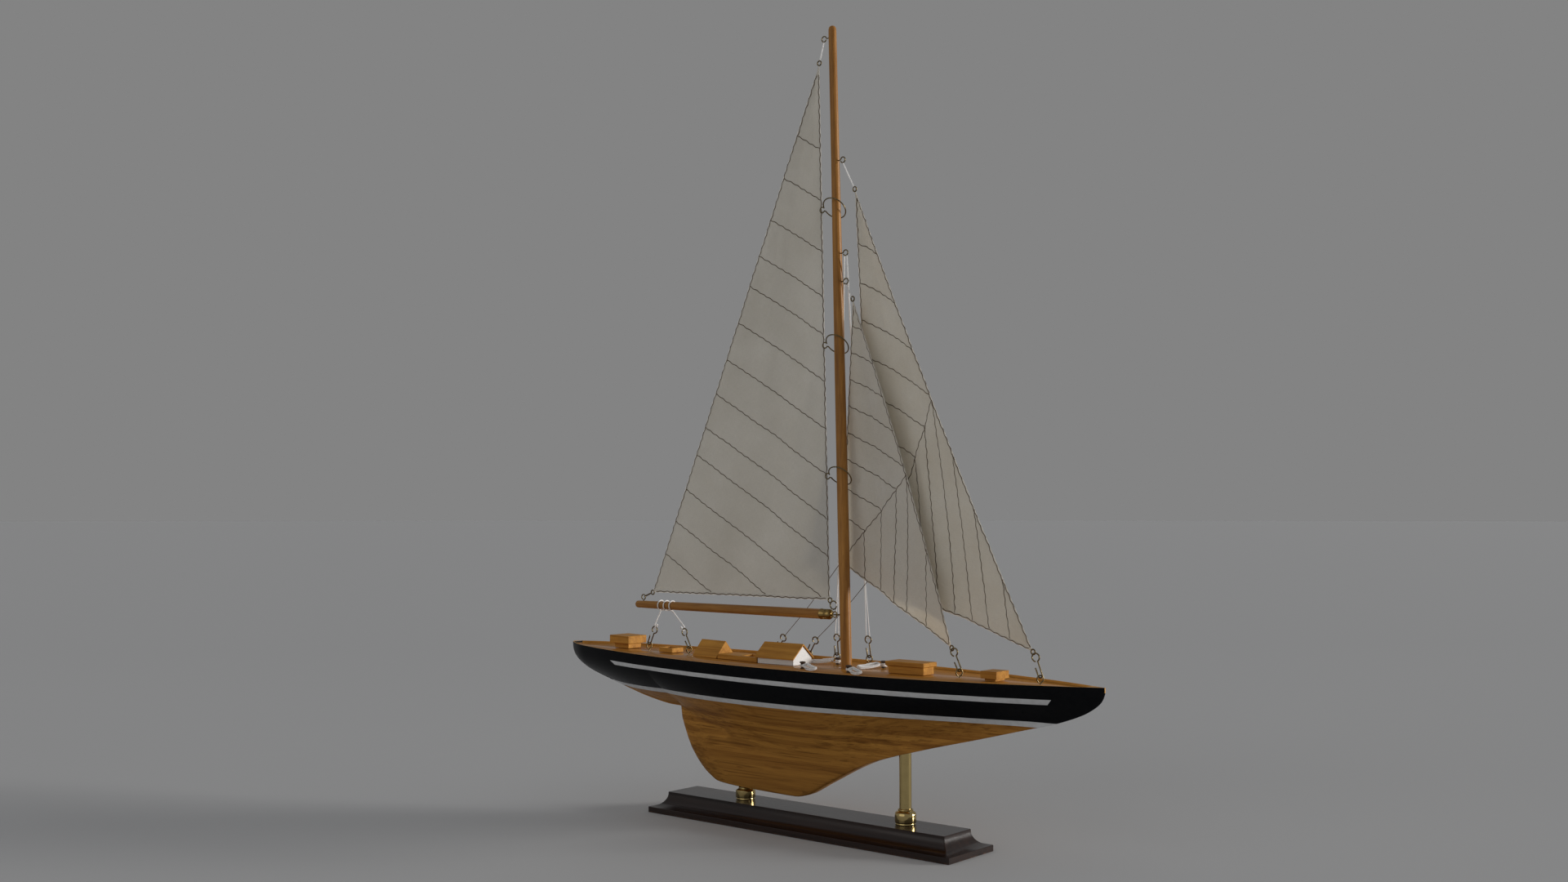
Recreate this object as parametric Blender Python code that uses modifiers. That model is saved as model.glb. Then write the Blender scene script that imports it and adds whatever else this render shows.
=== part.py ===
"""Wooden display model of a racing cutter on a moulded plinth.

Frame: +X towards the bow, +Y to port, +Z up.  The origin is on the surface
the plinth rests on, under the middle of the hull's length.  Metres.
"""

from math import atan, cos, pi, radians, sin, sqrt, tau

import bmesh
import bpy
from mathutils import Matrix, Vector

# Driving dimensions -----------------------------------------------------------
LENGTH = 0.600              # hull, stern to stem
GAP = 0.0003                # clearance between pieces that touch

# Stand
PLINTH_SIZE = (0.338, 0.0666, 0.0187)
PLINTH_FILLET = 0.0053      # height of the upright edge below the cove
PLINTH_COVE = 0.0133        # how far the cove draws in to the top face
PLINTH_X = 0.009            # middle of the plinth, forward of the hull's middle
POST_R = 0.0052
POST_FOOT_Z = 0.0100        # bottom of both posts, in their plinth sockets
POST_X = {"aft": -0.0672, "fore": 0.1123}
POST_TOP_Z = {"aft": 0.0460, "fore": 0.0980}
FERRULE_R = 0.0091
FERRULE_H = {"aft": 0.0108, "fore": 0.0128}

# Hull
RIM = 0.0015                # width of the rail at the level of the deck's underside
DECK_THICK = 0.0024
DECK_Z = 0.1448             # deck forward of the knee
DECK_KNEE_X = -0.0420       # aft of here the deck rises
DECK_RISE = 0.0165          # slope of the rising part
DECK_ENDS = (-0.2940, 0.2860)
RECESS_HEADROOM = 0.010     # how far the cutter of the deck's recess stands above it
STERN_HALF = 0.0113         # half width that the deck edge would have at a square stern
STERN_ROUND = 0.040         # length over which the stern is rounded off
BEAM_CURVE = (0.259, -0.1785, 0.1986)
SHEER = (0.1470, -0.0061, 0.0165, -0.0093)
KEEL_HALF = 0.0072          # half the keel's greatest thickness
KEEL_TAPER = 0.035          # length over which its after edge fines away
KEEL_FINE = (0.27, 0.17)    # forward end of the keel's fining, and its length
KEEL_HEEL_Z = 0.0345        # below here the keel's after edge no longer moves forward
STEM_HALF = 0.0007          # half thickness of the sharpest edges
# Section shape
FULLNESS = (1.8, 12.0)      # of the bilge: amidships, and its rise with x squared
HOLLOW = (1.7, 3.0)         # where it runs into the keel: amidships, and its rise with x
SECTION_STEPS = (0.0, 0.16, 0.34, 0.52, 0.68, 0.81, 0.91, 1.0)

# Outline of the hull seen from the side: counter, keel's after edge, keel's
# bottom, fore edge, forward overhang.
PROFILE = (
    (-0.3000, 0.1438), (-0.2984, 0.1398), (-0.2918, 0.1332), (-0.2784, 0.1261),
    (-0.2628, 0.1211), (-0.2467, 0.1168), (-0.2218, 0.1102), (-0.1900, 0.1027),
    (-0.1602, 0.0983), (-0.1487, 0.0978), (-0.1472, 0.0862), (-0.1443, 0.0787),
    (-0.1353, 0.0604), (-0.1250, 0.0475), (-0.1131, 0.0375), (-0.1006, 0.0320),
    (-0.0812, 0.0305), (-0.0041, 0.0289), (0.0050, 0.0302), (0.0343, 0.0447),
    (0.0653, 0.0608), (0.0828, 0.0683), (0.1043, 0.0752), (0.1300, 0.0828),
    (0.1897, 0.0981), (0.2334, 0.1096), (0.2556, 0.1154), (0.2708, 0.1205),
    (0.2819, 0.1251), (0.2907, 0.1303), (0.2963, 0.1351), (0.2988, 0.1392),
    (0.3000, 0.1432),
)
# Bottom of the body above the keel, where the section runs into the keel.
BODY_BOTTOM = (
    (-0.1487, 0.0978), (-0.1350, 0.0930), (-0.1150, 0.0860), (-0.0900, 0.0770),
    (-0.0600, 0.0675), (-0.0200, 0.0580), (0.0200, 0.0535), (0.0450, 0.0565),
    (0.0700, 0.0650), (0.1000, 0.0745), (0.1300, 0.0828),
)
EXTRA_STATIONS = (-0.175, -0.115, -0.065, -0.050, -0.030, 0.020, 0.050, 0.115, 0.150,
                  0.170, 0.212, 0.245)
DECK_STATIONS = (DECK_KNEE_X, 0.020, 0.050, 0.150, 0.170, 0.212)
HEEL_STATION = -0.1472      # only the keel needs this one

# Spars
MAST_RAKE = 0.02557         # the mast leans aft by this much per unit of height
MAST_FOOT = (0.0505, 0.1185)
MAST_TOP_Z = 0.7162
MAST_SIDES = 14
MAST_HOLE_R = 0.0055
MAST_HOLE_LONG = 0.034      # from the mast's foot to above the deck
# (distance down from the tip, radius)
MAST_TAPER = ((0.0006, 0.0020), (0.0025, 0.0033), (0.0060, 0.0036), (0.125, 0.00375),
              (0.315, 0.00475), (0.440, 0.0050), (0.520, 0.0049))
MAST_FOOT_R = 0.0048
BOOM_Z = 0.1912
BOOM_AFT_X = -0.2094
BOOM_CAP_X = (0.0218, 0.0338)
BOOM_CAP_R = 0.0046
BOOM_SPIGOT_R = 0.0038
BOOM_SPIGOT = 0.0090        # how far the spigot reaches into the cap

# Wire fittings
EYE_R = 0.0029              # deck eyes, to the middle of the wire
EYE_RISE = 0.0043           # their centres above the deck
EYE_WIRE = 0.0006
EYE_STEM = 0.0085           # from the ring's centre to the foot of the stem
SPAR_EYE_R = 0.0025
SPAR_EYE_WIRE = 0.00055
HOLE_R = 0.0010
HOOK_BEND_R = 0.0019
HOOK_RING_R = 0.0033
HOOK_RING_UP = 0.0145       # from the bearing point to the ring's centre
RING_POINTS = 11
HOOP_R = 0.0110
HOOP_SLANT = radians(45)    # each mast hoop hangs lower on its port side
GOOSENECK = Vector((0.0396, 0.0, BOOM_Z))
BOOM_EYE = (-0.2007, 0.0, 0.1983)
# Eyes in the mast: x and height of the ring's centre, side (+1 fore, -1 aft)
SPAR_EYES = {
    "masthead_eye": (0.0258, 0.7058, -1),
    "jib_halyard_eye": (0.0469, 0.5932, 1),
    "shroud_eye": (0.0497, 0.5099, 1),
    "staysail_halyard_eye": (0.0501, 0.4846, 1),
    "gooseneck_eye": (0.0396, BOOM_Z, -1),
}

# Deck eyes: x, y, lean of the hook forward, lean of the hook to starboard
FITTINGS = {
    "mainsheet_aft": (-0.1925, 0.0, radians(30), 0.0),
    "mainsheet_fore": (-0.1393, 0.0, radians(-24), 0.0),
    "staysail_tack": (0.1670, 0.0, radians(-20), 0.0),
    "jib_tack": (0.2432, 0.0, radians(-16), 0.0),
    "shroud_aft": (0.0001, 0.050, radians(8), radians(8)),
    "shroud_fore": (0.0373, 0.050, radians(2), radians(8)),
    "staysail_sheet": (-0.0713, 0.050, radians(42), radians(13)),
    "jib_sheet": (-0.0325, 0.050, radians(42), radians(12)),
}

# Sails: head, tack, clew.  Cloth is thin; each corner is cut back for its ring.
SAIL_THICK = 0.0008
CORNER_CUT = 0.0065
MAINSAIL = ((0.0203, 0, 0.6850), (0.0318, 0, 0.2035), (-0.1881, 0, 0.2033))
STAYSAIL = ((0.0575, 0, 0.4682), (0.1598, 0, 0.1688), (0.0287, 0.020, 0.2367))
JIB = ((0.0601, 0, 0.5651), (0.2369, 0, 0.1701), (0.0558, 0.030, 0.2248))
HOOP_HEIGHTS = {"upper": 0.5512, "middle": 0.4294, "lower": 0.3129}
HOOP_EYE_R = 0.0025
HOOP_BITE_R = 0.0036

# Cords
CORD_R = 0.0005
THREAD_R = 0.00030
SHEET_TURNS_X = (-0.1767, -0.1615)
BOOM_R_AT_TURNS = 0.0039
TURNS = 3
TURN_POINTS = 10

# Belaying posts and their hanks: x, y, heading of the hank in degrees
BOLLARDS = {
    "aft_starboard": (0.0210, -0.025, -28),
    "fore_starboard": (0.0715, -0.025, -32),
    "aft_port": (0.0210, 0.025, 200),
    "fore_port": (0.0715, 0.025, 248),
}
BOLLARD_H = 0.0062
HANK_SIZE = (0.0250, 0.0080, 0.0026)

parts = None
cutters = None


# Small tools ------------------------------------------------------------------
def clear_scene():
    for obj in list(bpy.data.objects):
        bpy.data.objects.remove(obj, do_unlink=True)


def new_collection(name):
    collection = bpy.data.collections.new(name)
    bpy.context.scene.collection.children.link(collection)
    return collection


def material(name, colour, roughness, metallic=0.0):
    mat = bpy.data.materials.new(name)
    mat.use_nodes = True
    shader = mat.node_tree.nodes["Principled BSDF"]
    shader.inputs["Base Color"].default_value = (*colour, 1.0)
    shader.inputs["Roughness"].default_value = roughness
    shader.inputs["Metallic"].default_value = metallic
    return mat


def add_part(name, data, mat, matrix=None):
    obj = bpy.data.objects.new(name, data)
    parts.objects.link(obj)
    data.materials.append(mat)
    if matrix is not None:
        obj.matrix_world = matrix
    return obj


def add_cutter(name, data):
    obj = bpy.data.objects.new(name, data)
    cutters.objects.link(obj)
    obj.hide_render = True
    obj.display_type = "WIRE"
    return obj


def boolean(obj, other, operation="DIFFERENCE"):
    modifier = obj.modifiers.new(other.name, "BOOLEAN")
    modifier.operation = operation
    modifier.solver = "EXACT"
    modifier.object = other


def shade(mesh):
    mesh.shade_smooth()
    mesh.set_sharp_from_angle(angle=radians(35))


def loft_mesh(name, rings):
    """Skin a run of closed rings that all have the same number of points."""
    bm = bmesh.new()
    rows = [[bm.verts.new(p) for p in ring] for ring in rings]
    for row, following in zip(rows, rows[1:]):
        for i in range(len(row)):
            j = (i + 1) % len(row)
            bm.faces.new((row[i], row[j], following[j], following[i]))
    bm.faces.new(list(reversed(rows[0])))
    bm.faces.new(rows[-1])
    bmesh.ops.recalc_face_normals(bm, faces=bm.faces)
    mesh = bpy.data.meshes.new(name)
    bm.to_mesh(mesh)
    bm.free()
    return mesh


def box_mesh(name, low, high):
    low, high = Vector(low), Vector(high)
    bm = bmesh.new()
    bmesh.ops.create_cube(bm, size=1.0)
    bmesh.ops.scale(bm, vec=high - low, verts=bm.verts)
    bmesh.ops.translate(bm, vec=(low + high) / 2, verts=bm.verts)
    mesh = bpy.data.meshes.new(name)
    bm.to_mesh(mesh)
    bm.free()
    return mesh


def rods_mesh(name, rods, sides):
    """Straight rods, each given as start, end and radius, in one mesh."""
    bm = bmesh.new()
    for start, end, radius in rods:
        start, end = Vector(start), Vector(end)
        turn = (end - start).to_track_quat("Z", "Y").to_matrix().to_4x4()
        bmesh.ops.create_cone(bm, cap_ends=True, segments=sides, radius1=radius,
                              radius2=radius, depth=(end - start).length,
                              matrix=Matrix.Translation((start + end) / 2) @ turn)
    mesh = bpy.data.meshes.new(name)
    bm.to_mesh(mesh)
    bm.free()
    return mesh


def turned(name, profile, steps, mat, matrix=None, closed=False):
    """Turn a profile of (radius, height) points round its own Z axis."""
    bm = bmesh.new()
    verts = [bm.verts.new((r, 0.0, z)) for r, z in profile]
    for a, b in zip(verts, verts[1:]):
        bm.edges.new((a, b))
    if closed:
        bm.edges.new((verts[-1], verts[0]))
    mesh = bpy.data.meshes.new(name)
    bm.to_mesh(mesh)
    bm.free()
    obj = add_part(name, mesh, mat, matrix)
    screw = obj.modifiers.new("turn", "SCREW")
    screw.steps = steps
    screw.render_steps = steps
    screw.use_merge_vertices = True
    screw.merge_threshold = 0.00001
    screw.use_smooth_shade = True
    return obj


def wire(name, points, radius, mat, matrix=None, resolution=1):
    curve = bpy.data.curves.new(name, "CURVE")
    curve.dimensions = "3D"
    curve.bevel_depth = radius
    curve.bevel_resolution = resolution
    curve.use_fill_caps = True
    spline = curve.splines.new("POLY")
    spline.points.add(len(points) - 1)
    for point, place in zip(spline.points, points):
        point.co = (*place, 1.0)
    return add_part(name, curve, mat, matrix)


def outline(name, points, thickness, mat, matrix):
    """A flat piece cut to an outline given in its own XY plane."""
    curve = bpy.data.curves.new(name, "CURVE")
    curve.dimensions = "2D"
    curve.fill_mode = "BOTH"
    curve.extrude = thickness / 2
    spline = curve.splines.new("POLY")
    spline.points.add(len(points) - 1)
    spline.use_cyclic_u = True
    for point, (x, y) in zip(spline.points, points):
        point.co = (x, y, 0.0, 1.0)
    return add_part(name, curve, mat, matrix)


def circle(centre, radius, start, sweep, count):
    """Points in the XZ plane, from the start angle through the sweep."""
    steps = [start + sweep * i / (count - 1) for i in range(count)]
    return [(centre[0] + radius * cos(a), 0.0, centre[1] + radius * sin(a)) for a in steps]


def frame_of(origin, x_axis, y_axis):
    x_axis = Vector(x_axis).normalized()
    z_axis = x_axis.cross(Vector(y_axis)).normalized()
    y_axis = z_axis.cross(x_axis)
    turn = Matrix((x_axis, y_axis, z_axis)).transposed().to_4x4()
    return Matrix.Translation(origin) @ turn


def smooth_points(route, count):
    """Even points on a smooth curve through a route's own points."""
    route = [Vector(p) for p in route]
    ends = [2 * route[0] - route[1]] + route + [2 * route[-1] - route[-2]]
    fine = []
    for a, b, c, d in zip(ends, ends[1:], ends[2:], ends[3:]):
        for i in range(12):
            t = i / 12
            fine.append(0.5 * (2 * b + (c - a) * t + (2 * a - 5 * b + 4 * c - d) * t * t
                               + (3 * b - a - 3 * c + d) * t ** 3))
    fine.append(route[-1])
    along = [0.0]
    for a, b in zip(fine, fine[1:]):
        along.append(along[-1] + (b - a).length)
    points = []
    j = 0
    for i in range(count):
        want = along[-1] * i / (count - 1)
        while j < len(fine) - 2 and along[j + 1] < want:
            j += 1
        share = (want - along[j]) / (along[j + 1] - along[j])
        points.append(fine[j].lerp(fine[j + 1], min(share, 1.0)))
    return points


def interpolate(table, x):
    """Smooth, non-overshooting curve through a table of (x, value)."""
    if x <= table[0][0]:
        return table[0][1]
    if x >= table[-1][0]:
        return table[-1][1]
    i = max(k for k in range(len(table) - 1) if table[k][0] <= x)

    def chord(k):
        return (table[k + 1][1] - table[k][1]) / (table[k + 1][0] - table[k][0])

    def slope(k):
        if k in (0, len(table) - 1):
            return chord(min(k, len(table) - 2))
        before, after = chord(k - 1), chord(k)
        if before * after <= 0:
            return 0.0
        return 2 * before * after / (before + after)

    width = table[i + 1][0] - table[i][0]
    t = (x - table[i][0]) / width
    return ((1 + 2 * t) * (1 - t) ** 2 * table[i][1] + t * (1 - t) ** 2 * width * slope(i)
            + t * t * (3 - 2 * t) * table[i + 1][1] + t * t * (t - 1) * width * slope(i + 1))


def clamp(value):
    return min(1.0, max(0.0, value))


# Lines of the hull --------------------------------------------------------------
def half_beam(x):
    """Half the width of the deck edge."""
    s = x / LENGTH + 0.5
    swell = sum(c * s ** i for i, c in enumerate(BEAM_CURVE))
    beam = STERN_HALF * (1 - s) + s * (1 - s) * swell
    rounding = clamp((STERN_ROUND - LENGTH / 2 - x) / STERN_ROUND)
    return max(beam * sqrt(1 - rounding ** 2), STEM_HALF)


def sheer_z(x):
    """Height of the rail."""
    return sum(c * x ** i for i, c in enumerate(SHEER))


def deck_z(x):
    return DECK_Z + DECK_RISE * max(0.0, DECK_KNEE_X - x)


def keel_edge_x(z):
    """Where the keel's after edge stands at a height."""
    edge = [(pz, px) for px, pz in reversed(PROFILE[9:16])]
    return interpolate(edge, max(z, KEEL_HEEL_Z))


def keel_half(x, z, bottom):
    """Half the thickness of the keel at a point of its side."""
    fore = clamp((KEEL_FINE[0] - x) / KEEL_FINE[1]) ** 0.7
    aft = sqrt(clamp((x - keel_edge_x(z)) / KEEL_TAPER))
    low = 1.0
    if x > 0.005:
        low = 0.8 + 0.2 * sqrt(clamp((z - bottom) / 0.02))
    return max(STEM_HALF, KEEL_HALF * fore * aft * low)


def half_section(x):
    """Port half of a section from the rail down to the middle of the keel."""
    top = sheer_z(x)
    beam = half_beam(x)
    bottom = interpolate(PROFILE, x)
    body = bottom
    if BODY_BOTTOM[0][0] < x < BODY_BOTTOM[-1][0]:
        body = interpolate(BODY_BOTTOM, x)
    bottom = min(bottom, body - 0.0008)
    full = FULLNESS[0] + FULLNESS[1] * x * x
    hollow = HOLLOW[0] + HOLLOW[1] * x
    points = []
    for u in SECTION_STEPS:
        z = top + (body - top) * u
        fine = min(keel_half(x, z, bottom) * u * u, beam)
        points.append((fine + (beam - fine) * (1 - u ** full) ** hollow, z))
    drop = body - bottom
    for z in (body - 0.5 * drop, bottom + min(0.002, 0.3 * drop)):
        points.append((min(keel_half(x, z, bottom), beam), z))
    points.append((0.8 * min(keel_half(x, bottom, bottom), beam), bottom))
    return points


def half_breadth(x, z):
    """Half the hull's width at a height."""
    side = half_section(x)
    for (wide, high), (narrow, low) in zip(side, side[1:]):
        if low <= z <= high:
            return narrow + (wide - narrow) * (z - low) / (high - low)
    return side[0][0]


def hull(mat):
    stations = sorted([x for x, z in PROFILE] + list(EXTRA_STATIONS))
    rings = []
    for x in stations:
        half = half_section(x)
        port = [(x, y, z) for y, z in half]
        starboard = [(x, -y, z) for y, z in reversed(half)]
        rings.append(port + starboard)
    mesh = loft_mesh("hull", rings)
    shade(mesh)
    obj = add_part("hull", mesh, mat)
    recess = loft_mesh("deck_recess", deck_rings(GAP, RECESS_HEADROOM))
    boolean(obj, add_cutter("deck_recess", recess))
    sockets = [((POST_X[k], 0, 0.0), (POST_X[k], 0, POST_TOP_Z[k] + GAP), POST_R + GAP)
               for k in POST_X]
    boolean(obj, add_cutter("hull_sockets", rods_mesh("hull_sockets", sockets, 20)))
    return obj


def deck_rings(grow, headroom):
    """Sections of the deck board, or of the larger recess that takes it."""
    ends = (DECK_ENDS[0] - grow, DECK_ENDS[1] + grow)
    inner = [x for x, z in PROFILE if ends[0] + 0.004 < x < ends[1] - 0.004 and x != HEEL_STATION]
    inner += DECK_STATIONS
    rings = []
    for x in [ends[0]] + sorted(inner) + [ends[1]]:
        top = deck_z(x) + headroom
        low = deck_z(x) - DECK_THICK - grow
        wide = half_breadth(x, deck_z(x) - DECK_THICK) - RIM + grow
        rings.append([(x, wide, low), (x, wide, top), (x, -wide, top), (x, -wide, low)])
    return rings


def deck(mat):
    mesh = loft_mesh("deck", deck_rings(0.0, 0.0))
    return add_part("deck", mesh, mat)


# Stand ------------------------------------------------------------------------
def plinth(mat):
    length, width, height = PLINTH_SIZE
    levels = [(0.0, 0.0), (0.0, PLINTH_FILLET)]
    for i in range(6):
        a = radians(90) * i / 5
        levels.append((0.0006 + (PLINTH_COVE - 0.0006) * sin(a),
                       PLINTH_FILLET + (height - 0.0010 - PLINTH_FILLET) * (1 - cos(a))))
    levels.append((PLINTH_COVE, height))
    rings = []
    for inset, z in levels:
        x, y = length / 2 - inset, width / 2 - inset
        rings.append([(PLINTH_X - x, -y, z), (PLINTH_X + x, -y, z),
                      (PLINTH_X + x, y, z), (PLINTH_X - x, y, z)])
    obj = add_part("base_plinth", loft_mesh("base_plinth", rings), mat)
    sockets = [((x, 0, POST_FOOT_Z - GAP), (x, 0, 0.050), POST_R + GAP) for x in POST_X.values()]
    boolean(obj, add_cutter("plinth_sockets", rods_mesh("plinth_sockets", sockets, 20)))
    return obj


def posts(mat):
    for name, x in POST_X.items():
        rod = rods_mesh(name + "_post", [((x, 0, POST_FOOT_Z), (x, 0, POST_TOP_Z[name]), POST_R)], 18)
        shade(rod)
        add_part(name + "_post", rod, mat)


def ferrules(mat):
    """Shouldered collar round the foot of each post."""
    bore = POST_R + 2 * GAP
    for name, x in POST_X.items():
        top = FERRULE_H[name]
        profile = [(bore, top), (0.0062, top), (0.0066, top - 0.0005), (0.0066, top - 0.0012),
                   (0.0080, top - 0.0021), (0.0089, 0.0090 + 0.15 * (top - 0.0108)),
                   (FERRULE_R, 0.0080), (FERRULE_R, 0.0018), (0.0086, 0.0010), (0.0083, 0.0),
                   (bore, 0.0)]
        place = Matrix.Translation((x, 0, PLINTH_SIZE[2] + GAP))
        turned(name + "_post_ferrule", profile, 20, mat, place, closed=True)


# Deck furniture -----------------------------------------------------------------
def on_deck(x, y=0.0):
    """Place a piece on the deck, following its slope."""
    slope = atan(DECK_RISE) if x < DECK_KNEE_X else 0.0
    return Matrix.Translation((x, y, deck_z(x) + GAP)) @ Matrix.Rotation(slope, 4, "Y")


def soften(obj, width):
    bevel = obj.modifiers.new("soften", "BEVEL")
    bevel.width = width
    bevel.segments = 1
    bevel.limit_method = "ANGLE"


def block(name, length, width, low, high, place, mat):
    mesh = box_mesh(name, (-length / 2, -width / 2, low), (length / 2, width / 2, high))
    obj = add_part(name, mesh, mat, place)
    soften(obj, 0.0004)
    return obj


def lidded_box(name, x, base, lid, mat):
    """A block with a wider lid; base and lid are length, width, height."""
    place = on_deck(x)
    block(name, base[0], base[1], 0.0, base[2], place, mat)
    lid_low = base[2] + GAP
    block(name + "_lid", lid[0], lid[1], lid_low, lid_low + lid[2], place, mat)


def coaming(name, x, length, width, height, well, mat):
    """A low block with a rectangular well; well is length, width, depth, offset."""
    obj = block(name, length, width, 0.0, height, on_deck(x), mat)
    low = (well[3] - well[0] / 2, -well[1] / 2, height - well[2])
    high = (well[3] + well[0] / 2, well[1] / 2, height + 0.004)
    tool = add_cutter(name + "_well", box_mesh(name + "_well", low, high))
    tool.matrix_world = on_deck(x)
    boolean(obj, tool)


def gabled(name, x, length, points, mat):
    """A prism along X with a cross-section of (y, z) points, its base on the deck."""
    rings = [[(end * length / 2, y, z) for y, z in points] for end in (-1, 1)]
    return add_part(name, loft_mesh(name, rings), mat, on_deck(x))


def fore_hatch(mat):
    base = (0.0100, 0.0140)
    lid = (0.0150, 0.0188)
    levels = [(base, 0.0), (base, 0.0020), (lid, 0.0020), (lid, 0.0080)]
    rings = [[(-a / 2, -b / 2, z), (a / 2, -b / 2, z), (a / 2, b / 2, z), (-a / 2, b / 2, z)]
             for (a, b), z in levels]
    add_part("fore_hatch", loft_mesh("fore_hatch", rings), mat, on_deck(0.2011))


def cabin(wall_mat, roof_mat):
    wall_h, ridge_h, half = 0.0057, 0.0167, 0.0128
    walls = [(-half, 0.0), (half, 0.0), (half, wall_h), (0.0, ridge_h), (-half, wall_h)]
    gabled("cabin_walls", -0.0205, 0.0416, walls, wall_mat)
    pitch = (ridge_h - wall_h) / half
    under, thick, eave = GAP * 1.4, 0.0013, 0.0143
    drop = pitch * eave
    roof = [(-eave, ridge_h + under - drop), (0.0, ridge_h + under),
            (eave, ridge_h + under - drop), (eave, ridge_h + under + thick - drop),
            (0.0, ridge_h + under + thick), (-eave, ridge_h + under + thick - drop)]
    gabled("cabin_roof", -0.0213, 0.0458, roof, roof_mat)


def furniture(pine, white):
    lidded_box("aft_locker", -0.2222, (0.0190, 0.0176, 0.0046), (0.0262, 0.0252, 0.0074), pine)
    coaming("aft_coaming", -0.1629, 0.0172, 0.0160, 0.0044, (0.0132, 0.0120, 0.0030, 0.0), pine)
    skylight = [(-0.0128, 0.0), (0.0128, 0.0), (0.0128, 0.0012), (0.0, 0.0152), (-0.0128, 0.0012)]
    gabled("skylight", -0.1074, 0.0302, skylight, pine)
    coaming("cockpit_coaming", -0.0673, 0.0484, 0.0250, 0.0044, (0.0200, 0.0170, 0.0026, 0.0110),
            pine)
    cabin(white, pine)
    lidded_box("fore_deckhouse", 0.1184, (0.0362, 0.0156, 0.0064), (0.0394, 0.0202, 0.0036), pine)
    fore_hatch(pine)


def bollards(wood, rope):
    """Turned posts, each with a hank of rope lying beside it."""
    pin = -DECK_THICK + 0.0006
    profile = [(0.0, BOLLARD_H), (0.0022, BOLLARD_H), (0.0027, BOLLARD_H - 0.0008),
               (0.0022, BOLLARD_H - 0.0019), (0.0014, BOLLARD_H - 0.0024), (0.0014, 0.0012),
               (0.0024, 0.0), (0.0011, 0.0), (0.0011, pin), (0.0, pin)]
    length, width, thick = HANK_SIZE
    reach = 0.0024 + GAP + length / 2
    for name, (x, y, heading) in BOLLARDS.items():
        turned("bollard_" + name, profile, 10, wood, on_deck(x, y))
        turn = Matrix.Rotation(radians(heading), 4, "Z")
        straight = length / 2 - width / 2
        points = []
        for end in (1, -1):
            for i in range(5):
                a = radians(-90 + 45 * i)
                points.append((end * (straight + width / 2 * cos(a)), end * width / 2 * sin(a)))
        place = on_deck(x, y) @ turn @ Matrix.Translation((reach, 0, thick / 2))
        outline("hank_" + name, points, thick, rope, place)


# Spars --------------------------------------------------------------------------
def mast_x(z):
    return MAST_FOOT[0] - MAST_RAKE * (z - MAST_FOOT[1])


def mast_frame():
    return Matrix.Translation((MAST_FOOT[0], 0, MAST_FOOT[1])) @ Matrix.Rotation(
        -atan(MAST_RAKE), 4, "Y")


def mast(mat):
    length = (MAST_TOP_Z - MAST_FOOT[1]) * sqrt(1 + MAST_RAKE ** 2)
    profile = [(0.0, length)] + [(r, length - down) for down, r in MAST_TAPER]
    profile += [(MAST_FOOT_R, 0.0), (0.0, 0.0)]
    obj = turned("mast", profile, MAST_SIDES, mat, mast_frame())
    holes = []
    for x, z, side in SPAR_EYES.values():
        axis = mast_x(z)
        holes.append(((axis + side * 0.0012, 0, z), (axis + side * 0.0090, 0, z), HOLE_R))
    boolean(obj, add_cutter("mast_holes", rods_mesh("mast_holes", holes, 8)))
    return obj


def eye_points(ring_r, stem):
    """Wire of a screw eye: up the stem, then round the ring, which stays open."""
    return [(0.0, 0.0, -stem), (0.0, 0.0, -ring_r - 0.0010)] + circle(
        (0.0, 0.0), ring_r, radians(-76), radians(318), RING_POINTS)


def spar_eyes(mat):
    for name, (x, z, side) in SPAR_EYES.items():
        stem = abs(mast_x(z) + side * 0.0017 - x)
        across = (0, 0, 1) if name != "gooseneck_eye" else (0, 1, 0)
        normal = Vector((side, 0, 0)).cross(Vector(across))
        place = frame_of((x, 0, z), across, normal)
        wire(name, eye_points(SPAR_EYE_R, stem), SPAR_EYE_WIRE, mat, place)


def boom(wood):
    """Turned boom with its spigot in the brass cap; the axis lies along X."""
    axis = Matrix.Translation((0, 0, BOOM_Z)) @ Matrix.Rotation(radians(90), 4, "Y")
    shoulder = BOOM_CAP_X[0] - GAP
    spigot = BOOM_CAP_X[0] + BOOM_SPIGOT
    profile = [(0.0, spigot), (BOOM_SPIGOT_R, spigot), (BOOM_SPIGOT_R, shoulder),
               (0.0044, shoulder), (0.0042, -0.080), (0.00345, BOOM_AFT_X + 0.0012),
               (0.0027, BOOM_AFT_X), (0.0, BOOM_AFT_X)]
    obj = turned("boom", profile, 14, wood, axis)
    hole = [((BOOM_EYE[0], 0, BOOM_Z), (BOOM_EYE[0], 0, BOOM_EYE[2]), HOLE_R)]
    boolean(obj, add_cutter("boom_hole", rods_mesh("boom_hole", hole, 8)))


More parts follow.
